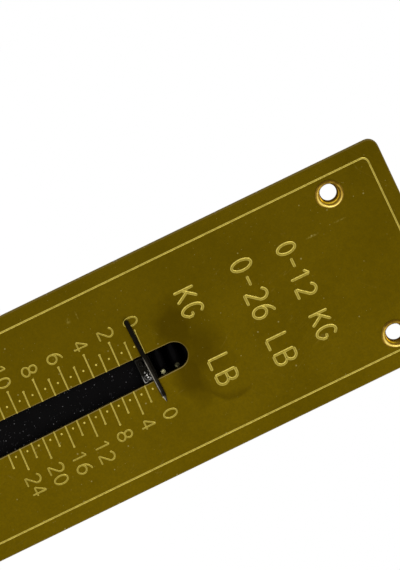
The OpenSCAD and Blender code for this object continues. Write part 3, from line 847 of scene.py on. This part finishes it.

# Face plate
# Brass sheet, 0.8 mm thick, blanked with its slot and four holes, then lacquered. The lacquer has aged to
# olive with broad smudges, painted reflections darken it round the slot's upper end, and its cut edges are
# pale, paler at the slot as a painted highlight and duller at its left side and upper end under painted
# shade; the left edge has a few nicks.

slot_top_r = 1.95 * mm
slot_low_r = 2.5 * mm
slot_x = 0.04 * mm
slot_above = 5.5 * mm
slot_below = 29.5 * mm
slot_top_z = zero_z + slot_above - slot_top_r
slot_low_z = zero_z - slot_below + slot_low_r
slot_outline = np.concatenate([arc(slot_x, slot_low_z, slot_low_r, 180, 360, 25),
                               arc(slot_x, slot_top_z, slot_top_r, 0, 180, 25)])[::-1]
edge_wear = 0.1 * mm
face_corner = 1.5 * mm
plate_edge = 0.13 * mm
face_left = face_low.x + edge_wear
face_outline = round_box(face_left, face_low.z, face_high.x, face_high.z, face_corner)
nick_z = zero_z + np.array([-21.3, -8.9, -2.2, 1.7, 2.1, 9.4, 17.6, 24.2]) * mm
nick_depth = np.array([0.1, 0.07, 0.06, 0.12, 0.08, 0.06, 0.1, 0.07]) * mm
nick_half = 0.22 * mm
nick_steps = np.linspace(1, -1, 7)
left_z = (nick_z[::-1, None] + nick_half * nick_steps).reshape(-1)
left_dent = (nick_depth[::-1, None] * np.cos(nick_steps * quarter_turn) ** 2).reshape(-1)
left_edge = np.stack([face_left + left_dent, left_z], 1)[np.argsort(-left_z)]
left_start = len(face_outline) * 3 // 4
face_outline = np.concatenate([face_outline[:left_start], left_edge, face_outline[left_start:]])
corners = [(x, z) for x in (-eyelet_x, eyelet_x) for z in eyelet_zs]
face_holes = [hole(x, z, eyelet_hole) for x, z in corners]
face_blank = punched([face_outline, slot_outline] + face_holes, face_low.y, face_high.y, plate_edge)


def stood_up(points):
    """Stands a blank up: its two directions are x and z, and its level is y."""
    return points[:, [0, 2, 1]]


def smear(tree, aside, height, wide, tall, uneven=0.22):
    """Distance from the middle of an oval mark, 1 on its edge: an oval of half sizes wide and tall about a
    place of the face, in millimetres from its middle and the zero line, made uneven by noise."""
    x, _, z = on_piece(tree)
    beside = (x - aside * mm) / (wide * mm)
    above = (z - (zero_z + height * mm)) / (tall * mm)
    off = (beside * beside + above * above) ** 0.5
    return off + level(noise(tree, 2.5 * mm), 0.3, 0.7, -uneven, uneven)


def aged_brass(tree):
    """Lacquered brass gone olive: broad smudges, painted reflections as dark patches round the slot's upper
    end and as the lower right part of a dark ring up and to the right of it, fine mottling, a tone that
    darkens towards the left edge, pale dust, faint hairlines, and bright cut edges with painted light at the
    slot."""
    smudge = noise(tree, 13 * mm, 3.0)
    mottle = noise(tree, 1.1 * mm, 4.0)
    dust = larger(specks(tree, 2.3 * mm, 0.16 * mm, 0.3), specks(tree, 0.8 * mm, 0.06 * mm, 0.2))
    lines = larger(hairlines(tree, 1.1 * mm, 0.006, 0.35, 0.36), hairlines(tree, 1.7 * mm, 0.003, -0.9, 0.4))
    x, _, z = on_piece(tree)
    # Painted reflection: dark patches round the slot's upper end.
    painted_reflection = larger(level(smear(tree, -3.0, 5.4, 4.6, 2.7), 1.25, 0.5, 0, 0.75),
                  level(smear(tree, 4.0, 4.4, 4.0, 2.1), 1.3, 0.5, 0, 0.75))
    painted_reflection = larger(painted_reflection, level(smear(tree, 0.8, 7.2, 5.8, 3.8), 1.3, 0.3, 0, 0.62))
    # Painted reflection: the lower right part of a dark ring up and to the right of the slot's upper end.
    ring_reflection_distance = smear(tree, 5.4, 9.6, 4.3, 3.9, 0.04)
    ring_reflection = level(ring_reflection_distance, 0.68, 0.93) * level(ring_reflection_distance, 1.06, 0.97)
    lower_right = level(x - z, -3.5 * mm - zero_z, -1.0 * mm - zero_z, 0, 0.5)
    painted_reflection = larger(painted_reflection, ring_reflection * lower_right)
    tone = mixed(level(smudge, 0.36, 0.64), (0.101, 0.065, 0.0004), (0.117, 0.0755, 0.001))
    tone = mixed(level(mottle, 0.35, 0.65, 0, 0.2), tone, (0.135, 0.088, 0.0015))
    tone = mixed(level(noise(tree, 0.3 * mm, 3.0), 0.35, 0.65, 0, 0.32), tone, (0.07, 0.05, 0.002))
    # The tone darkens towards the left edge.
    tone = mixed(level(x, -15 * mm, 2 * mm, 0.42, 0.0), tone, (0.066, 0.043, 0.0007))
    tone = mixed(painted_reflection, tone, (0.052, 0.032, 0.0004))
    tone = mixed(lines * 0.16, tone, (0.3, 0.22, 0.05))
    tone = mixed(dust * 0.45, tone, (0.36, 0.3, 0.1))
    scuffs = level(smear(tree, -11.4, -6.4, 0.65, 0.11), 1.3, 0.2)
    for scuff in ((-11.2, -7.85, 0.5, 0.3), (-7.25, 33.0, 0.12, 0.9), (-6.9, 28.5, 0.16, 0.9)):
        scuffs = larger(scuffs, level(smear(tree, *scuff), 1.3, 0.2))
    scuffs = scuffs * level(noise(tree, 0.28 * mm, 3.0), 0.42, 0.62, 0.03, 0.34)
    tone = mixed(scuffs, tone, (0.37, 0.3, 0.06))
    # Cut edges at the slot are paler than the outer ones, a painted highlight, and painted shade keeps the
    # slot's left side and upper end duller.
    at_slot = level(abs(x), 5 * mm, 4 * mm)
    slot_painted_shade = larger(level(x, -1 * mm, 1.5 * mm, 0.4, 0.0),
                    level(z, zero_z + 4.4 * mm, zero_z + 5.3 * mm, 0.0, 0.6))
    pale_share_and_painted_light = level(at_slot, 0, 1, 0.3, 0.85) - at_slot * slot_painted_shade
    tone = mixed(worn_rim(tree) * pale_share_and_painted_light, tone, (0.2, 0.15, 0.045))
    outer_cut = worn_rim(tree) * (1.0 - at_slot)
    shine = level(smudge, 0.3, 0.7, 0.26, 0.4) + level(mottle, 0.3, 0.7, 0, 0.06)
    return {"Base Color": tone, "Metallic": level(outer_cut, 0, 1, 1, 0.1), "Roughness": shine,
            "Normal": relief(noise(tree, 0.5 * mm, 3.0) - lines * 0.4, 0.004 * mm),
            "Specular IOR Level": 0.0}


face = placed("graduated_plate", face_blank, stood_up)
fitted(face, coated(aged_brass), "case", "face_plate")

# Engraving
# Border, scales, numbers and unit signs are cut with a pantograph through the lacquer. Each line is a shallow
# groove of bare brass with a burr thrown up along both sides; the burrs are pale with painted highlights, and
# on the numbers and signs painted shade dulls the side that faces right.

line_width = 0.27 * mm
tick_width = 0.24 * mm
sign_width = 0.42 * mm
sign_shade = 0.85
burr = 0.035 * mm
groove = 0.006 * mm
sunk = 0.05 * mm
to_front = (0, -1, 0)
skirt = -0.004 * mm
underside = [(0.9, -sunk, 0.2), (-0.9, -sunk, 0.2)]
# Sections: rows of (share of the half width, height, painted highlight), pale on the burrs.
fine_cut = np.array([(-1, skirt, 0.22), (-0.6, burr, 0.72), (0, groove, 0), (0.6, burr, 0.72),
                     (1, skirt, 0.22)] + underside)
broad_cut = np.array([(-1, skirt, 0.4), (-0.75, burr, 1), (-0.45, groove, 0.6), (0, groove, 0.1),
                      (0.45, groove, 0.6), (0.75, burr, 1), (1, skirt, 0.4)] + underside)


def scribed(path, width=line_width, swollen=0.0, section=fine_cut, shaded=0.0):
    """One engraved line along a path of (x, z) points: each point carries the groove's section, rows of
    (share of the half width, height, painted highlight). Near an end the half width is times the square root
    of
    1 - (1 - distance / half width) squared, so that ends are round. A swollen line is wider by a bell curve
    at its start, where the cutter went in. The painted highlight loses the share shaded, as painted shade, on
    the side that faces right, and half of it above and below. A path that ends where it starts is a loop."""
    path = np.array(path, float)
    loop = np.allclose(path[0], path[-1])
    gone = np.concatenate([[0], np.cumsum(np.linalg.norm(np.diff(path, axis=0), axis=1))])
    half = width / 2
    if loop:
        centre = path[:-1]
        ahead = np.roll(centre, -1, 0) - np.roll(centre, 1, 0)
        swell = np.ones(len(centre))
    else:
        near = half * (1 - np.cos(np.radians(np.linspace(0, 90, 5))))
        near = np.concatenate([near, half * np.array([1.6, 2.4, 3.4])]) if swollen else near
        distance = np.unique(np.concatenate([near, gone[1:-1], gone[-1] - near]))
        distance = distance[(distance >= 0) & (distance <= gone[-1])]
        centre = np.stack([np.interp(distance, gone, path[:, 0]), np.interp(distance, gone, path[:, 1])], 1)
        ahead = np.gradient(centre, axis=0)
        from_end = np.minimum(distance, gone[-1] - distance)
        swell = np.sqrt(np.clip(1 - (1 - np.minimum(from_end / half, 1)) ** 2, 0, 1))
        swell *= 1 + swollen * np.exp(-((distance / width - 0.6) / 0.6) ** 2)
    ahead /= np.linalg.norm(ahead, axis=1, keepdims=True)
    beside = np.stack([-ahead[:, 1], ahead[:, 0]], 1)
    flat = centre[:, None] + (half * swell)[:, None, None] * section[None, :, :1] * beside[:, None]
    lift = section[None, :, 1] * np.minimum(swell, 1)[:, None]
    points = np.stack([flat[:, :, 0], face_low.y - lift, flat[:, :, 1]], 2)
    faces = lattice(len(centre), len(section), round_rows=loop, round_columns=True)
    facing = section[None, :, 0] * beside[:, :1]
    painted_highlight_share = section[None, :, 2] * (1 - shaded * (1 + facing) / 2)
    return points.reshape(-1, 3), faces, painted_highlight_share.reshape(-1)


def punch_mark(x, z, radius=0.165 * mm):
    """One dot from a pointed punch: a small crater with a raised lip, which carries a painted highlight."""
    crater = [(0, groove), (0.45 * radius, 0.6 * burr), (0.7 * radius, burr), (radius, -groove),
              (radius, -sunk), (0, -sunk)]
    return turned(crater, (x, face_low.y, z), to_front, 12, [0.15, 0.57, 0.72, 0.28, 0, 0])


def bow(a, b, half_a, half_b, start, end, count=18):
    """Part of an ellipse: the centre plus the half sizes times cosine and sine."""
    return np.array([a, b]) + arc(0, 0, 1, start, end, count) * (half_a, half_b)


def bowl_of_b(b_low, b_high, out, back_to):
    """Bowl of a letter B between two heights, from its stem round and back to a place on its lower line."""
    half = (b_high - b_low) / 2
    bulge = bow(out - 0.45, b_low + half, 0.45, half, 90, -90, 12)
    return np.concatenate([[(0, b_high)], bulge, [(back_to, b_low)]])


cuts = {
    "0": [bow(0.5, 0.47, 0.44, 0.46, 90, 450, 33)],
    "1": [[(0.1, 0.76), (0.55, 1)], [(0.55, 1), (0.55, 0)]],
    "2": [np.concatenate([bow(0.5, 0.72, 0.46, 0.28, 165, -30), [(0.03, 0.02)]]), [(0, 0), (1, 0)]],
    "4": [[(0.72, 0), (0.72, 1)], [(0.7, 1), (0, 0.32)], [(0, 0.32), (1, 0.32)]],
    "6": [bow(0.5, 0.31, 0.46, 0.31, 100, 460, 25), bow(0.98, 0.36, 0.94, 0.64, 180, 100, 12)],
    "8": [bow(0.5, 0.75, 0.38, 0.25, -90, 270, 25), bow(0.5, 0.25, 0.48, 0.25, 90, 450, 25)],
    "K": [[(0, 0), (0, 1)], [(0.95, 1), (0.05, 0.42)], [(0.32, 0.6), (1, 0)]],
    "G": [np.concatenate([bow(0.5, 0.5, 0.5, 0.5, 42, 318, 25), [(0.97, 0.22), (0.97, 0.45)]]),
          [(0.97, 0.45), (0.58, 0.45)]],
    "L": [[(0, 1), (0, 0)], [(0, 0), (0.95, 0)]],
    "B": [[(0, 0), (0, 1)], bowl_of_b(0.52, 1, 0.9, 0.44), bowl_of_b(0, 0.52, 1, 0)],
    "-": [[(0.05, 0.48), (0.95, 0.48)]],
    " ": [],
}


def words(text, left, baseline, wide, tall, gap, width=line_width, section=fine_cut):
    """Engraved signs of a text: each is wide broad and tall high, and starts a gap after the last one. The
    baseline is measured from the zero line."""
    made = []
    for number, sign in enumerate(text):
        corner = np.array([left + number * (wide + gap), zero_z + baseline])
        made += [scribed(corner + np.array(stroke) * (wide, tall), width, 0.0, section, sign_shade)
                 for stroke in cuts[sign]]
    return made


def slot_half(z):
    """Half the slot's width at a height: it grows evenly from the upper round end to the lower one."""
    return slot_top_r + (slot_low_r - slot_top_r) * (slot_top_z - z) / (slot_top_z - slot_low_z)


def engraved_brass(tree):
    """Bare brass in the engraved lines: burrs made pale by the rim attribute's painted highlight, a browner
    groove, and dirt here and there.
    """
    dirt = level(noise(tree, 0.45 * mm, 3.0), 0.42, 0.7)
    tone = mixed(worn_rim(tree), (0.2, 0.15, 0.012), (0.72, 0.58, 0.13))
    tone = mixed(dirt * 0.5, tone, (0.2, 0.15, 0.02))
    return {"Base Color": tone, "Roughness": level(dirt, 0, 1, 0.3, 0.45),
            "Normal": relief(noise(tree, 0.12 * mm, 2.0), 0.006 * mm), "Metallic": 1.0}


border_left = -13.96 * mm
border_right = 13.78 * mm
border_inset = 2.2 * mm
border_corner = 0.9 * mm
border_path = round_box(border_left, face_low.z + border_inset, border_right, face_high.z - border_inset,
                        border_corner)
border_lines = [scribed(np.concatenate([border_path, border_path[:1]]))]

number_tall = 2.15 * mm
number_gap = 0.45 * mm
dot_lean = 0.02 * mm
kilo_marks = 13
kilo_pitch = 2.0 * mm
kilo_long = -5.95 * mm
kilo_short = -4.95 * mm
kilo_dots = -3.65 * mm
kilo_right = -6.5 * mm
kilo_wide = 1.4 * mm
kilo_foot = 0.95 * mm
kilo_lines = []
for number in range(kilo_marks):
    drop = number * kilo_pitch
    height = zero_z - drop
    inner = slot_x - slot_half(height)
    outer = kilo_short if number % 2 else kilo_long
    kilo_lines.append(scribed([(outer, height + 0.03 * mm), (inner, height - 0.09 * mm)], tick_width, 0.5))
    if number < kilo_marks - 1:
        kilo_lines.append(punch_mark(kilo_dots - number * dot_lean, height - kilo_pitch / 2))
    if number % 2 == 0:
        digits = str(number)
        left = kilo_right - len(digits) * (kilo_wide + number_gap) + number_gap
        kilo_lines += words(digits, left, -drop - kilo_foot, kilo_wide, number_tall, number_gap)

pound_marks = 14
pound_pitch = 1.814 * mm
pound_drop = 0.35 * mm
pound_zero = 5.0 * mm
pound_long = 5.85 * mm
pound_short = 4.8 * mm
pound_dots = 3.05 * mm
pound_left = 6.75 * mm
pound_wide = 1.35 * mm
pound_foot = 1.2 * mm
pound_lines = []
for number in range(pound_marks):
    drop = number * pound_pitch + pound_drop
    height = zero_z - drop
    inner = slot_x + slot_half(height)
    outer = pound_short if number % 2 else pound_long if number else pound_zero
    pound_lines.append(scribed([(outer, height - 0.09 * mm), (inner, height + 0.06 * mm)], tick_width, 0.3))
    if number < pound_marks - 1:
        pound_lines.append(punch_mark(pound_dots + number * dot_lean, height - pound_pitch / 2))
    if number % 2 == 0:
        digits = str(number * 2)
        pound_lines += words(digits, pound_left, -drop - pound_foot, pound_wide, number_tall, number_gap)

sign_lines = []
for text, left, baseline, wide, tall, gap in (
        ("0-12 KG", -7.7, 23.1, 1.6, 2.9, 0.66), ("0-26 LB", -8.4, 16.2, 1.7, 3.2, 0.78),
        ("KG", -8.0, 7.2, 1.6, 3.1, 0.8), ("LB", 3.0, 7.5, 1.6, 3.1, 0.8)):
    sign_lines += words(text, left * mm, baseline * mm, wide * mm, tall * mm, gap * mm, sign_width, broad_cut)
bare_brass = coated(engraved_brass)
for name, lines in (("border_line", border_lines), ("kilogram_scale", kilo_lines),
                    ("pound_scale", pound_lines), ("range_and_units", sign_lines)):
    engraving = solid(name, lines, 70)
    engraving.data.materials.append(bare_brass)
    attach(engraving, "case")

# Corner eyelets and washers
# Four drawn brass eyelets, tapered inside like funnels, go through face and flange. Their fronts are rolled,
# with dirt and painted shade in the crease, painted highlights on the crests that grow towards the lower
# right, and a slight bulge at the lower side; their rear ends are rolled over brass washers.

# Rings of (radius, height, cleanness) in millimetres: the third column holds dirt and painted shade in the
# crease and painted highlights on the crests.
lip_rings = np.array([
    (1.2, -1.6, 0.0), (1.26, -1.25, 0.0), (1.32, -0.95, 0.04), (1.37, -0.7, 0.3), (1.42, -0.42, 0.66),
    (1.47, -0.1, 0.2), (1.5, 0.12, 0.14), (1.53, 0.26, 0.1), (1.59, 0.38, 0.14), (1.69, 0.45, 0.5),
    (1.79, 0.44, 0.64), (1.88, 0.38, 0.3), (1.95, 0.28, 0.14), (2.01, 0.15, 0.3), (2.05, 0.05, 0.12),
    (2.02, 0, 0), (1.55, 0, 0), (1.55, -2.0, 0), (1.98, -2.0, 0), (2.05, -2.1, 0.2), (2.0, -2.28, 0.5),
    (1.87, -2.41, 0.6), (1.73, -2.45, 0.6), (1.58, -2.4, 0.5), (1.45, -2.28, 0.3), (1.33, -2.1, 0.1),
    (1.24, -1.88, 0.0), (1.2, -1.6, 0.0)])
lip_count = 44
painted_light_side = np.array([0.87, 0, -0.5])
bulge_side = np.array([0.26, 0, -0.966])
bulge_from = 0.86
bulge_height = 0.1 * mm
outer_rings = (lip_rings[:, 0] > 1.85) & (lip_rings[:, 1] > 0.01)


def rolled_eyelet(x, z):
    """One eyelet: its rings of (radius, height, cleanness with painted light) are turned round the bore. The
    lip's outer rings bulge outwards where the cosine of the angle from the bulge's side passes bulge_from. As
    a painted highlight, the value grows towards the lit side, by its share of the way there, and falls by 0.8
    of that share opposite, as painted shade."""
    centre = (x, face_low.y, z)
    points, faces, cleanness_and_painted_light = turned(lip_rings[:, :2] * mm, centre, to_front, lip_count, lip_rings[:, 2])
    outward = (points - centre) * (1, 0, 1)
    toward = outward @ painted_light_side / eyelet_lip
    spoke = outward / np.linalg.norm(outward, axis=1, keepdims=True)
    bulge = np.clip((spoke @ bulge_side - bulge_from) / (1 - bulge_from), 0, 1)
    points = points + spoke * (bulge_height * bulge * np.repeat(outer_rings, lip_count))[:, None]
    return points, faces, np.clip(cleanness_and_painted_light * (1 + toward * np.where(toward > 0, 1, 0.8)), 0, 1)


def gold_brass(tree):
    """Eyelet brass, matt brown with dirt and painted shade in the creases, pale gold under painted highlights
    on the
    crests and towards the lower right: the rim attribute gives each point's cleanness and painted light.
    """
    cloud = noise(tree, 0.7 * mm, 3.0)
    cleanness_and_painted_light = worn_rim(tree) + level(cloud, 0.35, 0.7, 0.1, -0.15)
    tone = mixed(level(cleanness_and_painted_light, 0.06, 0.42), (0.12, 0.064, 0.005), (0.45, 0.28, 0.034))
    tone = mixed(level(cleanness_and_painted_light, 0.5, 0.95), tone, (0.78, 0.61, 0.16))
    return {"Base Color": tone, "Metallic": level(cleanness_and_painted_light, 0.28, 0.5),
            "Roughness": level(cleanness_and_painted_light, 0, 1, 0.6, 0.2), "Normal": relief(cloud, 0.015 * mm),
            "Specular IOR Level": 0.0, "Specular Tint": (0.62, 0.4, 0.06, 1)}


eyelet_metal = coated(gold_brass)
eyelets = solid("rolled_eyelets", [rolled_eyelet(x, z) for x, z in corners], 60)
back_low, back_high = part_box("eyelet_washers")
back_bore = 1.56 * mm
back_t = 0.3 * mm
back_profile = bored_disc(back_bore, back_high.x - eyelet_x, -back_t, 0, washer_edge)
back_worn = [0.3, 0.6, 1, 1, 0.5, 0, 0.3]
washers = solid("eyelet_back_washers", [turned(back_profile, (x, back_low.y, z), to_front, 36, back_worn)
                                        for x, z in corners])
for piece, node in ((eyelets, "corner_eyelets"), (washers, "eyelet_washers")):
    fitted(piece, eyelet_metal, "case", node)

# Pointer, its block and rivets
# A filed steel pointer lies across the slot on a small block. Two rivets go through block, bar and the slide
# block's tongue. The steel is dark from age, with painted highlights along the pointer's ridge and on its
# tip, on the rivet heads, and in patches on the block towards the right rivet.

lean = np.radians(1.3)
pointer_drop = 0.33 * mm
pointer_mid_z = zero_z - pointer_drop
pointer_half = 0.35 * mm
pointer_t = 0.7 * mm
tip_run = 1.25 * mm
tip_highlight_x = 4.45 * mm
pointer_x = np.concatenate([
    pointer_low.x + pointer_half * (1 - np.cos(np.radians(np.linspace(0, 90, 9)))),
    np.array([-4, -2.1, -1.0, 0.4, 2, 3.3, 3.9, 4.4]) * mm,
    pointer_high.x - np.array([1.1, 0.9, 0.45, 0]) * mm])
from_left = np.minimum((pointer_x - pointer_low.x) / pointer_half, 1)
from_tip = np.minimum((pointer_high.x - pointer_x) / tip_run, 1)
breadth = np.sqrt(1 - (1 - from_left) ** 2) * from_tip ** 0.85
thick = 0.35 + 0.65 * np.minimum(1, from_tip * 1.15)
# Pointer section rows: (side, level, painted highlight on the ridge, painted highlight on the tip).
ridge_side, ridge_level, ridge_highlight, tip_highlight = np.array([
    (-1, 0, 0.1, 0), (-1, 0.62, 0.3, 0), (-0.84, 0.86, 0.2, 0.35), (-0.74, 1, 1, 0.45), (-0.46, 1, 1, 0.95),
    (-0.36, 0.97, 0.05, 0.3), (0.8, 0.8, 0, 0), (1, 0.55, 0, 0), (1, 0, 0, 0), (0, 0, 0, 0)]).T
# Strength of the painted highlight along the pointer.
highlight_along = np.interp(pointer_x, np.array([-2.1, -1.0, 0.4, 3.3, 3.9, 4.4, 4.6, 4.9, 5.3, 5.7]) * mm,
                     [0.0, 0.28, 0.36, 0.38, 0.05, 0.08, 0.6, 0.85, 0.3, 0.55])
sideways = pointer_half * breadth[:, None] * ridge_side
pointer_points = np.stack([
    pointer_x[:, None] - sideways * np.sin(lean),
    pointer_high.y - thick[:, None] * ridge_level * pointer_t,
    pointer_mid_z + sideways + pointer_x[:, None] * np.sin(lean)], 2)
tip_highlight = (pointer_x > tip_highlight_x)[:, None] * tip_highlight
pointer_highlight = (highlight_along[:, None] * np.maximum(ridge_highlight, tip_highlight)).reshape(-1)
pointer_faces = lattice(len(pointer_x), len(ridge_side), round_columns=True)
pointer = solid("filed_pointer", [(pointer_points.reshape(-1, 3), pointer_faces, pointer_highlight)], 12)

carrier_low, carrier_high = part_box("pointer_block")
carrier_corner = 0.25 * mm
carrier_edge = 0.13 * mm
carrier_outline = round_box(carrier_low.x, carrier_low.z, carrier_high.x, carrier_high.z, carrier_corner, 5)
carrier_blank = punched([carrier_outline], carrier_low.y, carrier_high.y, carrier_edge)
carrier = placed("pointer_carrier", carrier_blank, stood_up)
pin_depth = (carrier_low.y - tongue_rear) / mm
pin_profile = np.array([(0, 0.14), (0.17, 0.16), (0.27, 0.25), (0.38, 0.21), (0.5, 0.06), (0.5, 0), (0.3, 0),
                        (0.3, pin_depth), (0, pin_depth)]) * mm
# Painted highlight: a bright ring round each rivet head's dome.
pin_highlight = [0, 0.3, 1, 0.8, 0.1, 0, 0, 0, 0]
pins = solid("pointer_pins", [turned(pin_profile, (x, carrier_low.y, pin_z), to_front, 28, pin_highlight)
                              for x in (-pin_x, pin_x)])


def filed_steel(tree):
    """Dark brown steel with file marks along it, with a painted highlight where its rim attribute says."""
    marks = noise(tree, 0.16 * mm, 3.0, (6, 1, 1))
    painted_highlight_share = worn_rim(tree) * level(noise(tree, 0.3 * mm, 3.0), 0.35, 0.6, 0.5, 1)
    tone = mixed(marks, (0.0033, 0.0027, 0.0018), (0.0092, 0.0076, 0.0052))
    tone = mixed(painted_highlight_share, tone, (0.7, 0.65, 0.53))
    return {"Base Color": tone, "Roughness": level(painted_highlight_share, 0, 1, 0.42, 0.25),
            "Normal": relief(marks, 0.02 * mm), "Metallic": 1.0}


def scuffed_steel(tree):
    """The same steel on block and rivets, with patchy painted highlights that grow towards the right rivet
    and on the lower right rims of block and rivet heads.
    """
    x, y, z = on_piece(tree)
    patchy = noise(tree, 0.3 * mm, 4.0, distortion=0.8)
    rightward = level(x, -0.3 * mm, 1.1 * mm, -0.16, 0.05)
    height = abs(z - (zero_z - 1.05 * mm))
    inside = level(height, 0.45 * mm, 0.15 * mm) * level(y, -6.5 * mm, -6.65 * mm)
    inside = inside * level(x, 1.85 * mm, 1.45 * mm, 0.1, 1)
    edge = worn_rim(tree) * level(x, 0.5 * mm, 1.7 * mm, 0.02, 0.8)
    edge = edge * level(z, zero_z - 1.4 * mm, zero_z - 1.8 * mm, 0.0, 1)
    # Painted highlights: patches about the rivets' height, growing towards the right, and the lower right
    # edges.
    painted_highlight_share = larger(level(patchy + rightward, 0.52, 0.68) * inside, edge * patchy)
    tone = mixed(patchy, (0.0018, 0.0016, 0.0012), (0.0105, 0.0092, 0.0068))
    tone = mixed(painted_highlight_share, tone, (0.75, 0.73, 0.68))
    return {"Base Color": tone, "Roughness": level(painted_highlight_share, 0, 1, 0.45, 0.3),
            "Normal": relief(patchy, 0.03 * mm), "Metallic": 1.0}


block_steel = coated(scuffed_steel)
for piece, finish, node in ((pointer, coated(filed_steel), "pointer"), (carrier, block_steel, "pointer_block"),
                            (pins, block_steel, "pointer_rivets")):
    fitted(piece, finish, "draw", node)

# Hanging ring
# A ring bent from 2.4 mm wire, with its butted ends brazed at the side, and nickel plated. It hangs loose
# in the eye of the eye bolt.

hang_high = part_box("hang_ring")[1]
ring_wire_r = 1.2 * mm
ring_bend_r = hang_high.x - ring_wire_r
ring_z = hang_high.z - ring_bend_r - ring_wire_r
seam_at = 180
seam_dip = 0.07
braze_rise = 0.025
ring_angle = np.unique(np.concatenate([np.linspace(0, 360, 120, endpoint=False),
                                       seam_at + np.linspace(-1.6, 1.6, 9)]))
ring_way = np.radians(ring_angle)
from_seam = ring_angle - seam_at
seam = 1 - seam_dip * np.exp(-(from_seam / 0.5) ** 2) + braze_rise * np.exp(-(from_seam / 3) ** 2)
ring_path = np.stack([ring_bend_r * np.cos(ring_way), 0 * ring_way,
                      ring_z + ring_bend_r * np.sin(ring_way)], 1)
ring_wire = bent_wire(ring_path, ring_wire_r * np.minimum(seam, 1), (0, 1, 0), closed=True, count=24)
fitted(solid("hanging_ring", [ring_wire]), nickel, "ring", "hang_ring")

# Load hook
# One length of 2.6 mm wire, nickel plated: the eye is closed round the draw bar's hole, the neck leads out
# to one side, and the bowl comes back under the middle and ends in a tapered point.

hook_wire_r = 1.3 * mm
hook_eye_r = 3.5 * mm
hook_eye_z = -124.4 * mm
hook_eye_end = -412
shoulder_r = 2.4 * mm
shoulder_turn = np.degrees(np.arcsin(np.sqrt(1 - (shoulder_r / (shoulder_r + hook_eye_r)) ** 2)))
shoulder_z = hook_eye_z - np.sqrt((shoulder_r + hook_eye_r) ** 2 - shoulder_r ** 2)
neck_z = -131.9 * mm
neck_r = 4.0 * mm
bowl_r = 7.0 * mm
bowl_z = hook_low.z + hook_wire_r + bowl_r
neck_turn = np.degrees(np.arccos(neck_r / (neck_r + bowl_r)))
point_turn = 15
point_length = 2.0 * mm
eye_run = np.concatenate([arc(0, hook_eye_z, hook_eye_r, hook_eye_end, -180 + shoulder_turn, 56),
                          arc(-shoulder_r, shoulder_z, shoulder_r, shoulder_turn, 0, 12)[1:]])
bowl_run = np.concatenate([arc(-neck_r, neck_z, neck_r, 0, -neck_turn, 14),
                           arc(0, bowl_z, bowl_r, 180 - neck_turn, 360 + point_turn, 60)[1:]])
point_way = np.radians(point_turn)
point_ahead = np.array([-np.sin(point_way), np.cos(point_way)])
point_steps = point_length * np.array([0.3, 0.65, 0.9, 1.0])[:, None]
bowl_run = np.concatenate([bowl_run, bowl_run[-1] + point_steps * point_ahead])
hook_path = np.concatenate([fore_and_aft(eye_run), fore_and_aft(bowl_run)[:, [1, 0, 2]]])
hook_radius = np.full(len(hook_path), hook_wire_r)
hook_radius[-5:] = np.array([1.3, 1.16, 0.98, 0.83, 0.75]) * mm
hook = solid("load_hook_wire", [bent_wire(hook_path, hook_radius, (1, 1, 0), count=24)])
fitted(hook, nickel, "hook", "load_hook")
